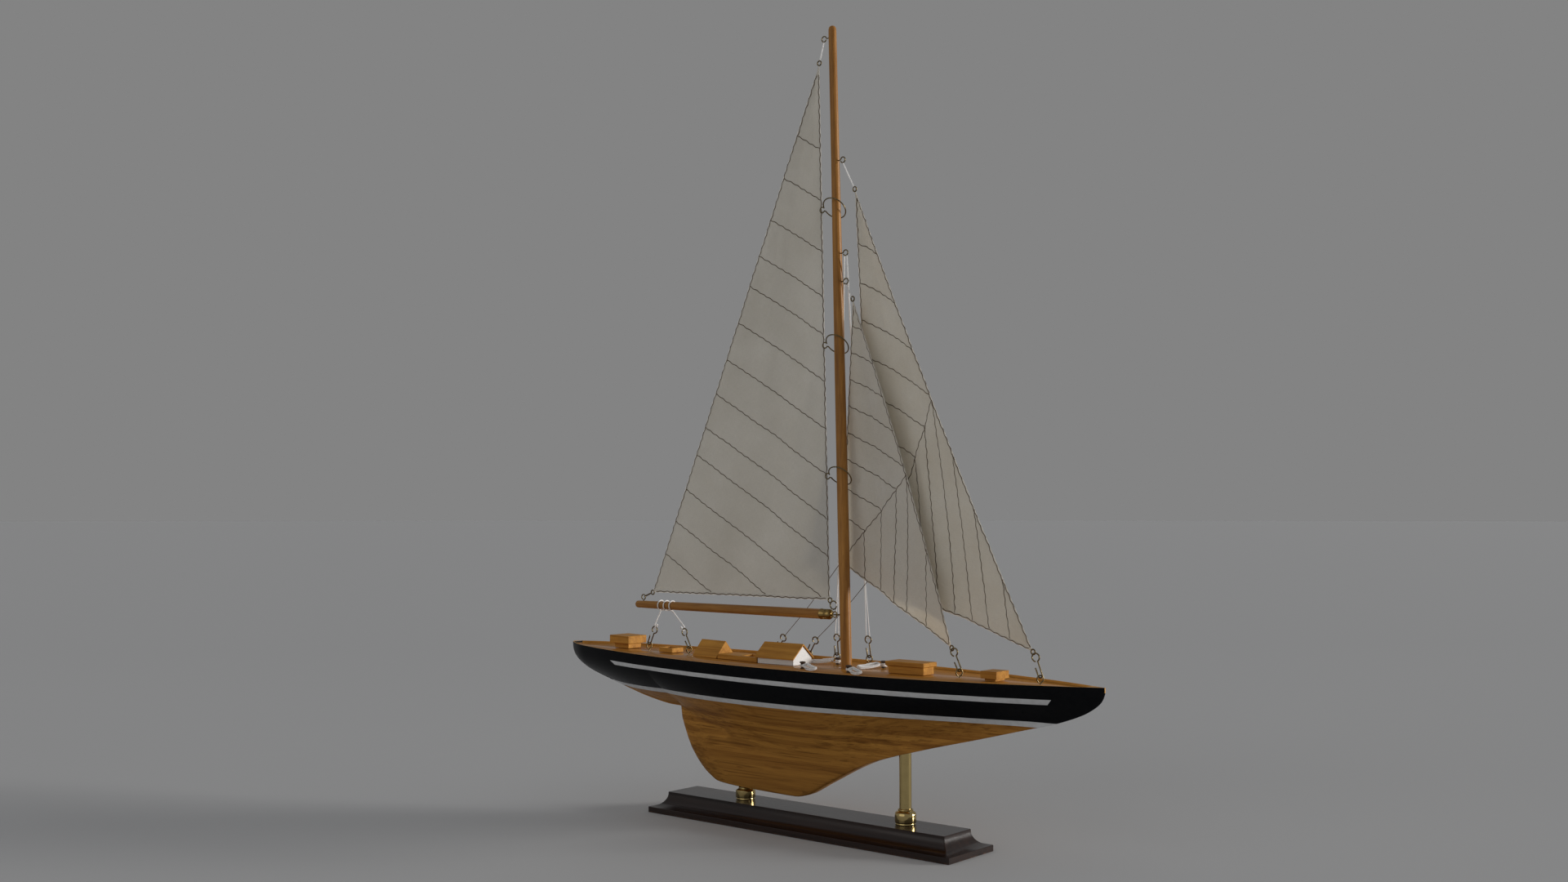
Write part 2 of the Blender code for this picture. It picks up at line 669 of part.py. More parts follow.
def boom_fittings(brass, dark):
    """Cap with its ring, linked through the gooseneck eye, and the after eye."""
    axis = Matrix.Translation((0, 0, BOOM_Z)) @ Matrix.Rotation(radians(90), 4, "Y")
    aft, fore = BOOM_CAP_X
    bore = BOOM_SPIGOT_R + GAP
    floor = aft + BOOM_SPIGOT + GAP
    profile = [(0.0, fore + 0.0004), (0.0030, fore), (BOOM_CAP_R, fore - 0.0016),
               (BOOM_CAP_R, aft), (bore, aft), (bore, floor), (0.0, floor)]
    cap = turned("boom_ferrule", profile, 16, brass, axis)
    bpy.ops.mesh.primitive_torus_add(major_segments=12, minor_segments=6,
                                     major_radius=SPAR_EYE_R, minor_radius=SPAR_EYE_WIRE)
    ring = bpy.context.object
    link = add_cutter("boom_ring", ring.data)
    bpy.data.objects.remove(ring)
    link.matrix_world = Matrix.Translation(
        (GOOSENECK.x - SPAR_EYE_R, 0, BOOM_Z)) @ Matrix.Rotation(radians(90), 4, "X")
    boolean(cap, link, "UNION")
    place = frame_of(BOOM_EYE, (1, 0, 0), (0, 1, 0))
    wire("boom_aft_eye", eye_points(SPAR_EYE_R, 0.0062), SPAR_EYE_WIRE, dark, place)


# Deck eyes and hooks --------------------------------------------------------------
def eye_centre(name):
    x, y = FITTINGS[name][:2]
    return Vector((x, y, deck_z(x) + EYE_RISE))


def hook_points():
    """Wire of a hook: up-turned tip, bend, shank, ring.  Bearing point at the origin."""
    tip = [(-HOOK_BEND_R - 0.0007, 0.0, 0.0062), (-HOOK_BEND_R, 0.0, 0.0010)]
    bend = circle((0.0, 0.0), HOOK_BEND_R, radians(180), radians(180), 7)
    ring = circle((0.0, HOOK_RING_UP), HOOK_RING_R, radians(-74), radians(318), RING_POINTS + 1)
    return tip + bend + ring


def hook_frame(name):
    lean, side = FITTINGS[name][2:]
    return (Matrix.Translation(eye_centre(name)) @ Matrix.Rotation(side, 4, "X")
            @ Matrix.Translation((0, 0, EYE_R)) @ Matrix.Rotation(lean, 4, "Y"))


def hook_ring(name):
    """Centre of a hook's ring."""
    return hook_frame(name) @ Vector((0, 0, HOOK_RING_UP))


def deck_fittings(mat):
    for name in FITTINGS:
        place = frame_of(eye_centre(name), (0, 1, 0), (-1, 0, 0))
        wire(name + "_eye", eye_points(EYE_R, EYE_STEM), EYE_WIRE, mat, place)
        wire(name + "_hook", hook_points(), EYE_WIRE, mat, hook_frame(name))


def drill_deck(deck_obj, hull_obj):
    """Holes for the mast, the deck eyes and the pins of the bollards."""
    small = []
    for name in FITTINGS:
        eye = eye_centre(name)
        small.append((eye + Vector((0, 0, -EYE_STEM - GAP)), eye, HOLE_R))
    for x, y, heading in BOLLARDS.values():
        top = deck_z(x)
        small.append(((x, y, top - DECK_THICK - 0.0001), (x, y, top + 0.002), 0.0015))
    holes = add_cutter("deck_holes", rods_mesh("deck_holes", small, 8))
    place = mast_frame()
    step = [(place @ Vector((0, 0, -GAP)), place @ Vector((0, 0, MAST_HOLE_LONG)), MAST_HOLE_R)]
    mast_hole = add_cutter("mast_hole", rods_mesh("mast_hole", step, 18))
    for obj in (deck_obj, hull_obj):
        boolean(obj, holes)
        boolean(obj, mast_hole)


# Sails and cords --------------------------------------------------------------------
def sail_outline(corners, luff_bites=()):
    """Corners cut back, and a round bite in the luff for each hoop's eye."""
    head, tack, clew = corners
    points = []
    for before, corner, after in ((clew, head, tack), (head, tack, clew), (tack, clew, head)):
        for other in (before, after):
            points.append(corner + (other - corner).normalized() * CORNER_CUT)
        if corner is head:
            along = (tack - head).normalized()
            inward = Vector((along.y, -along.x))
            if inward.dot(clew - head) < 0:
                inward = -inward
            for share in luff_bites:
                centre = head.lerp(tack, share)
                for i in range(7):
                    a = radians(180 - 30 * i)
                    points.append(centre + HOOP_BITE_R * (along * cos(a) + inward * sin(a)))
    return points


def sail(name, corners, mat, hoop_heights=()):
    head, tack, clew = (Vector(c) for c in corners)
    place = frame_of(head, tack - head, clew - head)
    flat = [(place.inverted() @ c).to_2d() for c in (head, tack, clew)]
    bites = [(head.z - z) / (head.z - tack.z) for z in hoop_heights]
    return outline(name, sail_outline(flat, bites), SAIL_THICK, mat, place)


def luff_x(z):
    head, tack = MAINSAIL[0], MAINSAIL[1]
    return head[0] + (tack[0] - head[0]) * (head[2] - z) / (head[2] - tack[2])


def hoop(name, z, mat):
    """One wire: a small eye on the luff, then a large slanting ring round the mast."""
    eye = luff_x(z)
    points = circle((eye, z), HOOP_EYE_R, radians(60), radians(275), 9)
    middle = Vector((eye + HOOP_EYE_R + 0.0004 + HOOP_R, 0, z))
    down = Vector((0, sin(HOOP_SLANT), -cos(HOOP_SLANT)))
    for i in range(19):
        a = radians(170) - radians(340) * i / 18
        points.append(tuple(middle + HOOP_R * (Vector((1, 0, 0)) * -cos(pi - a) + down * sin(a))))
    wire(name, points, EYE_WIRE * 0.95, mat)


def mainsheet(mat):
    """One cord: after hook, three turns round the boom, fore hook."""
    wrap_r = BOOM_R_AT_TURNS + CORD_R + GAP
    start, end = SHEET_TURNS_X
    aft = hook_ring("mainsheet_aft") + Vector((0, 0, HOOK_RING_R + EYE_WIRE + CORD_R + GAP))
    fore = hook_ring("mainsheet_fore") + Vector((0, 0, HOOK_RING_R + EYE_WIRE + CORD_R + GAP))
    under = Vector((0, 0, BOOM_Z - wrap_r))
    points = [aft, aft.lerp(under + Vector((start, 0, 0)), 0.5)]
    total = TURNS * TURN_POINTS
    for i in range(total + 1):
        a = radians(-90) + tau * i / TURN_POINTS
        x = start + (end - start) * i / total
        points.append(Vector((x, wrap_r * cos(a), BOOM_Z + wrap_r * sin(a))))
    points += [fore.lerp(under + Vector((end, 0, 0)), 0.5), fore]
    return wire("mainsheet", points, CORD_R, mat, resolution=2)


def shroud_line(mat):
    """One cord looped over the bottom of the shroud eye, a leg to each hook."""
    x, z, side = SPAR_EYES["shroud_eye"]
    eye = Vector((x, 0, z - SPAR_EYE_R))
    lift = Vector((0, 0, HOOK_RING_R + EYE_WIRE + CORD_R + GAP))
    aft = hook_ring("shroud_aft") + lift
    fore = hook_ring("shroud_fore") + lift
    turn_r = SPAR_EYE_WIRE + CORD_R + GAP
    loop = []
    for i in range(7):
        a = radians(15 + 45 * i)
        loop.append(eye + Vector((-0.0006 + 0.0002 * i, turn_r * cos(a), turn_r * sin(a))))
    legs = 6
    down_aft = [aft.lerp(loop[0], i / legs) for i in range(legs)]
    down_fore = [loop[-1].lerp(fore, (i + 1) / legs) for i in range(legs)]
    return wire("shroud_line", down_aft + loop + down_fore, CORD_R, mat, resolution=2)


def sheet_thread(name, hook, clew, mat):
    """Thread from the ring of a hook up to the clew of a headsail, with a little slack."""
    clew = Vector(clew)
    ring = hook_ring(hook)
    along = (clew - ring).normalized()
    start = ring + along * (HOOK_RING_R + EYE_WIRE + THREAD_R + GAP)
    end = clew - along * 0.0035
    slack = Vector((0, 0, -0.0015))
    route = [start, start.lerp(end, 0.33) + slack, start.lerp(end, 0.67) + slack, end]
    return wire(name, smooth_points(route, 12), THREAD_R, mat, resolution=2)


def hang_on(pivot_name, place, names):
    """Parent pieces to an empty on their joint, leaving them where they are."""
    pivot = bpy.data.objects.new(pivot_name, None)
    pivot.location = place
    parts.objects.link(pivot)
    for name in names:
        obj = bpy.data.objects[name]
        obj.parent = pivot
        obj.matrix_parent_inverse = Matrix.Translation(-Vector(place))


def build():
    global parts, cutters
    clear_scene()
    parts = new_collection("racing_cutter_model")
    cutters = new_collection("cutters")
    stained = material("stained_wood", (0.018, 0.008, 0.005), 0.18)
    varnished = material("varnished_wood", (0.30, 0.13, 0.035), 0.28)
    deck_wood = material("deck_wood", (0.33, 0.15, 0.05), 0.25)
    pine = material("pine", (0.48, 0.26, 0.08), 0.35)
    spar_wood = material("spar_wood", (0.24, 0.10, 0.03), 0.35)
    white = material("white_paint", (0.75, 0.75, 0.72), 0.4)
    brass = material("polished_brass", (0.80, 0.60, 0.25), 0.15, 1.0)
    dark = material("antique_brass", (0.35, 0.27, 0.12), 0.35, 1.0)
    canvas = material("canvas", (0.62, 0.57, 0.50), 0.9)
    rope = material("white_cord", (0.78, 0.77, 0.74), 0.9)
    thread = material("dark_thread", (0.18, 0.15, 0.12), 0.9)

    plinth(stained)
    posts(brass)
    ferrules(brass)
    hull_obj = hull(varnished)
    deck_obj = deck(deck_wood)
    drill_deck(deck_obj, hull_obj)
    furniture(pine, white)
    bollards(pine, rope)
    mast(spar_wood)
    spar_eyes(dark)
    boom(spar_wood)
    boom_fittings(brass, dark)
    deck_fittings(dark)
    sail("mainsail", MAINSAIL, canvas, HOOP_HEIGHTS.values())
    sail("staysail", STAYSAIL, canvas)
    sail("jib", JIB, canvas)
    for place, z in HOOP_HEIGHTS.items():
        hoop("mast_hoop_" + place, z, dark)
    mainsheet(rope)
    shroud_line(rope)
    sheet_thread("staysail_sheet", "staysail_sheet", STAYSAIL[2], thread)
    sheet_thread("jib_sheet", "jib_sheet", JIB[2], thread)

    hoops = ["mast_hoop_" + place for place in HOOP_HEIGHTS]
    hang_on("boom_pivot", GOOSENECK,
            ["boom", "boom_ferrule", "boom_aft_eye", "mainsail", "mainsheet"] + hoops)
    for name in ("mainsheet_aft", "mainsheet_fore"):
        hang_on(name + "_pivot", eye_centre(name), [name + "_hook"])
    hang_on("staysail_pivot", STAYSAIL[1], ["staysail"])
    hang_on("jib_pivot", JIB[1], ["jib"])


build()
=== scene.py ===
"""Looks of the racing cutter display model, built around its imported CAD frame.

Metres, +X to the bow, +Y to port, +Z up; the origin is on the surface under the middle of the hull.
"""

from math import atan, cos, pi, radians, sin, sqrt, tau

import bmesh
import bpy
from mathutils import Matrix, Vector, noise


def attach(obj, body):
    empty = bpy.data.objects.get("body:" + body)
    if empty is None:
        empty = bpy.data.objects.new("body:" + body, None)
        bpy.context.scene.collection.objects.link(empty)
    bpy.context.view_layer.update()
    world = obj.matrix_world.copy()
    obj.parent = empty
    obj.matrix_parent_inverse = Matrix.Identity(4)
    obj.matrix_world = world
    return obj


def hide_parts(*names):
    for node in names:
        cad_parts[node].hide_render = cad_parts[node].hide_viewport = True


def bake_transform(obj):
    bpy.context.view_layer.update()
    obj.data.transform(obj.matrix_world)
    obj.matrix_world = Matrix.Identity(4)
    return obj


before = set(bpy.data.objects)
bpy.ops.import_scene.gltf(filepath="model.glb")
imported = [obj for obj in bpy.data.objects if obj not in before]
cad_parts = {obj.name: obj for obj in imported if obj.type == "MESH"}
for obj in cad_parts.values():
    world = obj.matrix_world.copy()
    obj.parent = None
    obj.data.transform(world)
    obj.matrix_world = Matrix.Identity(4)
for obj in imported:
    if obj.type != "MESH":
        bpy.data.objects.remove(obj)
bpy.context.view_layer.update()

# Places and sizes that repeat the CAD model's ------------------------------------------
LENGTH = 0.600
GAP = 0.0003
PLINTH_SIZE = (0.338, 0.0666, 0.0187)
PLINTH_FILLET = 0.0053
PLINTH_COVE = 0.0133
PLINTH_X = 0.009
POST_R = 0.0052
POST_FOOT_Z = 0.0100
POST_X = {"aft": -0.0672, "fore": 0.1123}
POST_TOP_Z = {"aft": 0.0460, "fore": 0.0980}
FERRULE_H = {"aft": 0.0108, "fore": 0.0128}

RIM = 0.0015
DECK_THICK = 0.0024
DECK_Z = 0.1448
DECK_KNEE_X = -0.0420
DECK_RISE = 0.0165
DECK_ENDS = (-0.2940, 0.2860)
STERN_HALF = 0.0113
STERN_ROUND = 0.040
BEAM_CURVE = (0.259, -0.1785, 0.1986)
SHEER = (0.1470, -0.0061, 0.0165, -0.0093)
KEEL_HALF = 0.0072
KEEL_TAPER = 0.035
KEEL_FINE = (0.27, 0.17)
STEM_HALF = 0.0007
FULLNESS = (1.8, 12.0)
HOLLOW = (1.7, 3.0)
PROFILE = (
    (-0.3000, 0.1438), (-0.2984, 0.1398), (-0.2918, 0.1332), (-0.2784, 0.1261),
    (-0.2628, 0.1211), (-0.2467, 0.1168), (-0.2218, 0.1102), (-0.1900, 0.1027),
    (-0.1602, 0.0983), (-0.1487, 0.0978), (-0.1472, 0.0862), (-0.1443, 0.0787),
    (-0.1353, 0.0604), (-0.1250, 0.0475), (-0.1131, 0.0375), (-0.1006, 0.0320),
    (-0.0812, 0.0305), (-0.0041, 0.0289), (0.0050, 0.0302), (0.0343, 0.0447),
    (0.0653, 0.0608), (0.0828, 0.0683), (0.1043, 0.0752), (0.1300, 0.0828),
    (0.1897, 0.0981), (0.2334, 0.1096), (0.2556, 0.1154), (0.2708, 0.1205),
    (0.2819, 0.1251), (0.2907, 0.1303), (0.2963, 0.1351), (0.2988, 0.1392),
    (0.3000, 0.1432),
)
BODY_BOTTOM = (
    (-0.1487, 0.0978), (-0.1350, 0.0930), (-0.1150, 0.0860), (-0.0900, 0.0770),
    (-0.0600, 0.0675), (-0.0200, 0.0580), (0.0200, 0.0535), (0.0450, 0.0565),
    (0.0700, 0.0650), (0.1000, 0.0745), (0.1300, 0.0828),
)

MAST_RAKE = 0.02557
MAST_FOOT = (0.0505, 0.1185)
MAST_TOP_Z = 0.7162
MAST_TAPER = ((0.0002, 0.0012), (0.0008, 0.0023), (0.0018, 0.0031), (0.0035, 0.0035),
              (0.0060, 0.0036), (0.125, 0.00375), (0.315, 0.00475), (0.440, 0.0050),
              (0.520, 0.0049))
MAST_FOOT_R = 0.0048
BOOM_Z = 0.1912
BOOM_AFT_X = -0.2094
BOOM_CAP_X = (0.0218, 0.0338)
BOOM_CAP_R = 0.0046
BOOM_TAPER = ((0.00425, -0.050), (0.00395, -0.150))
BOOM_FORE_R = 0.0044
BOOM_SPIGOT = (0.0036, 0.009)
BOOM_R_AT_TURNS = 0.0040

EYE_R = 0.0029
EYE_RISE = 0.0043
EYE_WIRE = 0.0006
EYE_STEM = 0.0085
SPAR_EYE_R = 0.0025
SPAR_EYE_WIRE = 0.00055
HOOK_BEND_R = 0.0019
HOOK_RING_R = 0.0033
HOOK_RING_UP = 0.0145
HOOP_R = 0.0110
HOOP_SLANT = radians(45)
HOOP_EYE_R = 0.0025
GOOSENECK = Vector((0.0396, 0.0, BOOM_Z))
BOOM_EYE = (-0.2007, 0.0, 0.1983)
SPAR_EYES = {
    "masthead_eye": (0.0258, 0.7058, -1),
    "jib_halyard_eye": (0.0469, 0.5932, 1),
    "shroud_eye": (0.0497, 0.5099, 1),
    "staysail_halyard_eye": (0.0501, 0.4846, 1),
    "gooseneck_eye": (0.0396, BOOM_Z, -1),
}
# Deck eyes: x, y, lean of the hook forward, lean of the hook to starboard
FITTINGS = {
    "mainsheet_aft": (-0.1925, 0.0, radians(30), 0.0),
    "mainsheet_fore": (-0.1393, 0.0, radians(-24), 0.0),
    "staysail_tack": (0.1670, 0.0, radians(-20), 0.0),
    "jib_tack": (0.2432, 0.0, radians(-16), 0.0),
    "shroud_aft": (0.0001, 0.050, radians(8), radians(8)),
    "shroud_fore": (0.0373, 0.050, radians(2), radians(8)),
    "staysail_sheet": (-0.0713, 0.050, radians(42), radians(13)),
    "jib_sheet": (-0.0325, 0.050, radians(42), radians(12)),
}
MOVING_HOOKS = ("mainsheet_aft", "mainsheet_fore")

MAINSAIL = ((0.0203, 0, 0.6850), (0.0318, 0, 0.2035), (-0.1881, 0, 0.2033))
STAYSAIL = ((0.0575, 0, 0.4682), (0.1598, 0, 0.1688), (0.0287, 0.020, 0.2367))
JIB = ((0.0601, 0, 0.5651), (0.2369, 0, 0.1701), (0.0558, 0.030, 0.2248))
HOOP_HEIGHTS = {"upper": 0.5512, "middle": 0.4294, "lower": 0.3129}
CORD_R = 0.0005
THREAD_R = 0.0003
SHEET_TURNS_X = (-0.1767, -0.1615)
TURNS = 3
TURN_POINTS = 20
BOLLARDS = {
    "aft_starboard": (0.0210, -0.025, -28),
    "fore_starboard": (0.0715, -0.025, -32),
    "aft_port": (0.0210, 0.025, 200),
    "fore_port": (0.0715, 0.025, 248),
}
BOLLARD_H = 0.0062
HANK_SIZE = (0.0250, 0.0080)

# What only the visual model has --------------------------------------------------------
CLOTH = 0.00050             # thickness of one layer of sailcloth
EDGE = 0.00012              # thickness at the turned edge
HEM = 0.0026                # width of the folded hem
HEM_CLOTH = 0.00062         # thickness of the hem
STITCH_HALF = 0.00042       # half the width of a line of stitching
STITCH_PROUD = 0.00016      # how far the stitching stands out of the cloth
STITCH_SECTION = ((1, 0.4), (0.5, 1), (-0.5, 1), (-1, 0.4), (-1, -0.4), (-0.5, -1), (0.5, -1), (1, -0.4))
STITCH_WAVE = (0.00042, 0.0088)   # how far a line of stitching wanders, and over what length
GROMMET_R = 0.0021          # corner rings, to the middle of the wire
EYE_TURN = radians(28)      # how far each deck eye is screwed past square
SHEET_R = 0.0006            # the mainsheet's cord
TURN_SHIFT = 0.22           # share of each turn over which the mainsheet moves on along the boom
STRAND_R = CORD_R * 0.76    # each strand of the doubled shrouds
STRAND_GAP = 0.0015         # how far a shroud's strands part at the hook, to each side
CLEW_LEGS = 0.00115         # how far the clew lashing's legs stand to each side
HANK_ROPE_R = 0.00046
HANK_LAPS = 4
HANK_POINTS = 24            # points in each lap of a hank
SEAM_INSET = 0.006          # where seams stop short of an edge, as a share
SEAM_FOOT = 0.994           # where they stop above the foot
WEAVE_PITCH = 0.00055       # from thread to thread of the canvas
# How far down the leech each of the mainsail's seams starts, as a share
MAIN_SEAMS = (0.128, 0.204, 0.280, 0.346, 0.402, 0.470, 0.540, 0.606, 0.670, 0.724, 0.792, 0.855,
              0.920)
SHEER_LINE = ((0.0104, 0.0027), (0.0145, 0.0040))   # white line under the rail: constant, slope
SHEER_LINE_ENDS = (-0.2063, 0.2608)
WATERLINE = (0.1108, 0.1153)

CAMERA_PLACE = (0.8678, -1.0584, 0.2797)
CAMERA_YAW = radians(-40.03)
CAMERA_PITCH = radians(2.73)
CAMERA_LENS = 35.0
BACKDROP = 0.227            # brightness of the surroundings at the horizon
CEILING = (0.24, 0.245, 0.255)
CEILING_RISE = (0.42, 0.85)     # heights between which the backdrop turns into the ceiling
FLOOR_R = 60.0
FLOOR_FADE = (0.3, 2.6)         # how far away the floor starts and stops getting darker
# Suns: direction towards the light, strength, colour, width in degrees
SUNS = {
    "key": ((0.77, 0.60, 0.10), 2.80, (1.0, 0.985, 0.96), 18),
    "fill": ((-0.10, -0.92, 0.25), 0.40, (1.0, 0.99, 0.97), 60),
}


# Camera, lights and floor --------------------------------------------------------------
def camera():
    data = bpy.data.cameras.new("camera")
    data.lens = CAMERA_LENS
    data.sensor_width = 36.0
    data.clip_end = 200.0
    obj = bpy.data.objects.new("camera", data)
    bpy.context.collection.objects.link(obj)
    level = cos(CAMERA_PITCH)
    forward = Vector((level * sin(CAMERA_YAW), level * cos(CAMERA_YAW), sin(CAMERA_PITCH)))
    obj.location = CAMERA_PLACE
    obj.rotation_euler = forward.to_track_quat("-Z", "Y").to_euler()
    bpy.context.scene.camera = obj


def surroundings():
    """Even grey surroundings at eye level, and a slightly brighter ceiling above the camera's view."""
    world = bpy.data.worlds.new("studio")
    bpy.context.scene.world = world
    world.use_nodes = True
    tree = world.node_tree
    back = tree.nodes["Background"]
    place = tree.nodes.new("ShaderNodeTexCoord")
    split = tree.nodes.new("ShaderNodeSeparateXYZ")
    tree.links.new(place.outputs["Generated"], split.inputs[0])
    rise = tree.nodes.new("ShaderNodeMapRange")
    rise.interpolation_type = "SMOOTHSTEP"
    rise.inputs["From Min"].default_value, rise.inputs["From Max"].default_value = CEILING_RISE
    tree.links.new(split.outputs["Z"], rise.inputs["Value"])
    mix = tree.nodes.new("ShaderNodeMix")
    mix.data_type = "RGBA"
    mix.inputs[6].default_value = (BACKDROP, BACKDROP, BACKDROP, 1)
    mix.inputs[7].default_value = (*CEILING, 1)
    tree.links.new(rise.outputs[0], mix.inputs[0])
    tree.links.new(mix.outputs[2], back.inputs["Color"])


def sun(name, direction, strength, colour, softness):
    data = bpy.data.lights.new(name, "SUN")
    data.energy = strength
    data.color = colour
    data.angle = radians(softness)
    obj = bpy.data.objects.new(name, data)
    bpy.context.collection.objects.link(obj)
    obj.rotation_euler = (-Vector(direction)).to_track_quat("-Z", "Y").to_euler()


def floor():
    """Pale floor with painted shade that makes it a little darker with distance, so that it meets the
    backdrop.
    """
    bm = bmesh.new()
    bmesh.ops.create_circle(bm, cap_ends=True, segments=64, radius=FLOOR_R)
    mesh = bpy.data.meshes.new("floor")
    bm.to_mesh(mesh)
    bm.free()
    obj = bpy.data.objects.new("floor", mesh)
    bpy.context.collection.objects.link(obj)
    look = Look("pale_floor", 0.9)
    cloudy = look.noise(look.place((1.5, 1.5, 1.5)), detail=2)
    pale = look.mix(cloudy, (0.606, 0.607, 0.610), (0.618, 0.618, 0.618))
    x, y = look.split(look.place())[:2]
    away = look.math("ADD", look.math("ABSOLUTE", x), look.math("ABSOLUTE", y))
    # painted shade: the floor is drawn darker with distance, over FLOOR_FADE, so that it meets the backdrop
    look.colour(look.mix(look.step(away, *FLOOR_FADE), pale, (0.586, 0.587, 0.590)))
    mesh.materials.append(look.mat)


# Materials -----------------------------------------------------------------------------
class Look:
    """A material under construction, in the model's own coordinates in metres."""

    def __init__(self, name, roughness, metallic=0.0, constants=None):
        self.mat = bpy.data.materials.new(name)
        self.mat.use_nodes = True
        self.tree = self.mat.node_tree
        self.shader = self.tree.nodes["Principled BSDF"]
        self.shader.inputs["Roughness"].default_value = roughness
        self.shader.inputs["Metallic"].default_value = metallic
        for name, value in (constants or {}).items():
            self.shader.inputs[name].default_value = value

    def add(self, kind, values, **settings):
        node = self.tree.nodes.new(kind)
        for key, value in settings.items():
            setattr(node, key, value)
        for key, value in values.items():
            if isinstance(value, bpy.types.NodeSocket):
                self.tree.links.new(value, node.inputs[key])
            elif isinstance(value, tuple) and len(value) == 3 and node.inputs[key].type == "RGBA":
                node.inputs[key].default_value = (*value, 1.0)
            else:
                node.inputs[key].default_value = value
        return node

    def place(self, scale=(1, 1, 1), turn=(0, 0, 0), source="Object"):
        where = self.add("ShaderNodeTexCoord", {}).outputs[source]
        return self.add("ShaderNodeMapping", {"Vector": where, "Scale": scale, "Rotation": turn}).outputs[0]

    def split(self, vector):
        return self.add("ShaderNodeSeparateXYZ", {0: vector}).outputs

    def noise(self, vector, scale=1.0, detail=3.0, roughness=0.5, distortion=0.0):
        values = {"Vector": vector, "Scale": scale, "Detail": detail, "Roughness": roughness,
                  "Distortion": distortion}
        return self.add("ShaderNodeTexNoise", values).outputs[0]

    def math(self, operation, *values):
        return self.add("ShaderNodeMath", dict(enumerate(values)), operation=operation).outputs[0]

    def step(self, value, low, high, out_low=0.0, out_high=1.0):
        values = {"Value": value, "From Min": low, "From Max": high, "To Min": out_low,
                  "To Max": out_high}
        return self.add("ShaderNodeMapRange", values, clamp=True).outputs[0]

    def mix(self, share, a, b, blend="MIX"):
        node = self.add("ShaderNodeMix", {}, data_type="RGBA", blend_type=blend)
        for index, value in ((0, share), (6, a), (7, b)):
            if isinstance(value, bpy.types.NodeSocket):
                self.tree.links.new(value, node.inputs[index])
            elif index == 0:
                node.inputs[0].default_value = value
            else:
                node.inputs[index].default_value = (*value, 1.0)
        return node.outputs[2]

    def colour(self, value):
        self.tree.links.new(value, self.shader.inputs["Base Color"])

    def roughness(self, value):
        self.tree.links.new(value, self.shader.inputs["Roughness"])

    def bump(self, height, distance, strength=1.0):
        values = {"Height": height, "Distance": distance, "Strength": strength}
        under = self.shader.inputs["Normal"]
        if under.is_linked:
            values["Normal"] = under.links[0].from_socket
        self.tree.links.new(self.add("ShaderNodeBump", values).outputs[0], under)


def grain(look, light, dark, along=0, board=None, fineness=1.0, contrast=1.0):
    """Wood figure along an axis: broad streaks, fine fibres and dark pores, in boards of a given height."""
    long_way, across = 7.0 * fineness, 170.0 * fineness
    scale = [across] * 3
    scale[along] = long_way
    streaks = look.noise(look.place(tuple(scale)), detail=4, roughness=0.62, distortion=0.6)
    fine = [across * 6] * 3
    fine[along] = long_way * 6
    fibres = look.noise(look.place(tuple(fine)), detail=3, roughness=0.7)
    tone = look.math("MULTIPLY_ADD", fibres, 0.35, look.math("MULTIPLY", streaks, 0.65))
    tone = look.step(tone, 0.5 - 0.16 / contrast, 0.5 + 0.16 / contrast)
    if board:
        height = look.split(look.place())[2]
        row = look.math("FLOOR", look.math("DIVIDE", height, board))
        own = look.add("ShaderNodeTexWhiteNoise", {"W": row}, noise_dimensions="1D").outputs[0]
        tone = look.math("MULTIPLY_ADD", own, 0.45, look.math("MULTIPLY", tone, 0.62))
    wood = look.mix(tone, dark, light)
    pores = look.step(fibres, 0.60, 0.72)
    wood = look.mix(look.math("MULTIPLY", pores, 0.35), wood, tuple(c * 0.45 for c in dark))
    return wood, fibres


def wood_look(name, light, dark, roughness, gloss, along=0, contrast=1.0, relief=0.5):
    look = Look(name, roughness, constants={"Specular IOR Level": gloss})
    wood, fibres = grain(look, light, dark, along, contrast=contrast)
    cloudy = look.noise(look.place((38, 38, 38)), detail=2)
    look.colour(look.mix(look.step(cloudy, 0.35, 0.75, 0.0, 0.22), wood, tuple(c * 0.6 for c in dark)))
    look.roughness(look.step(fibres, 0.2, 0.8, roughness * 0.8, roughness * 1.3))
    look.bump(fibres, 0.00006, relief)
    return look.mat


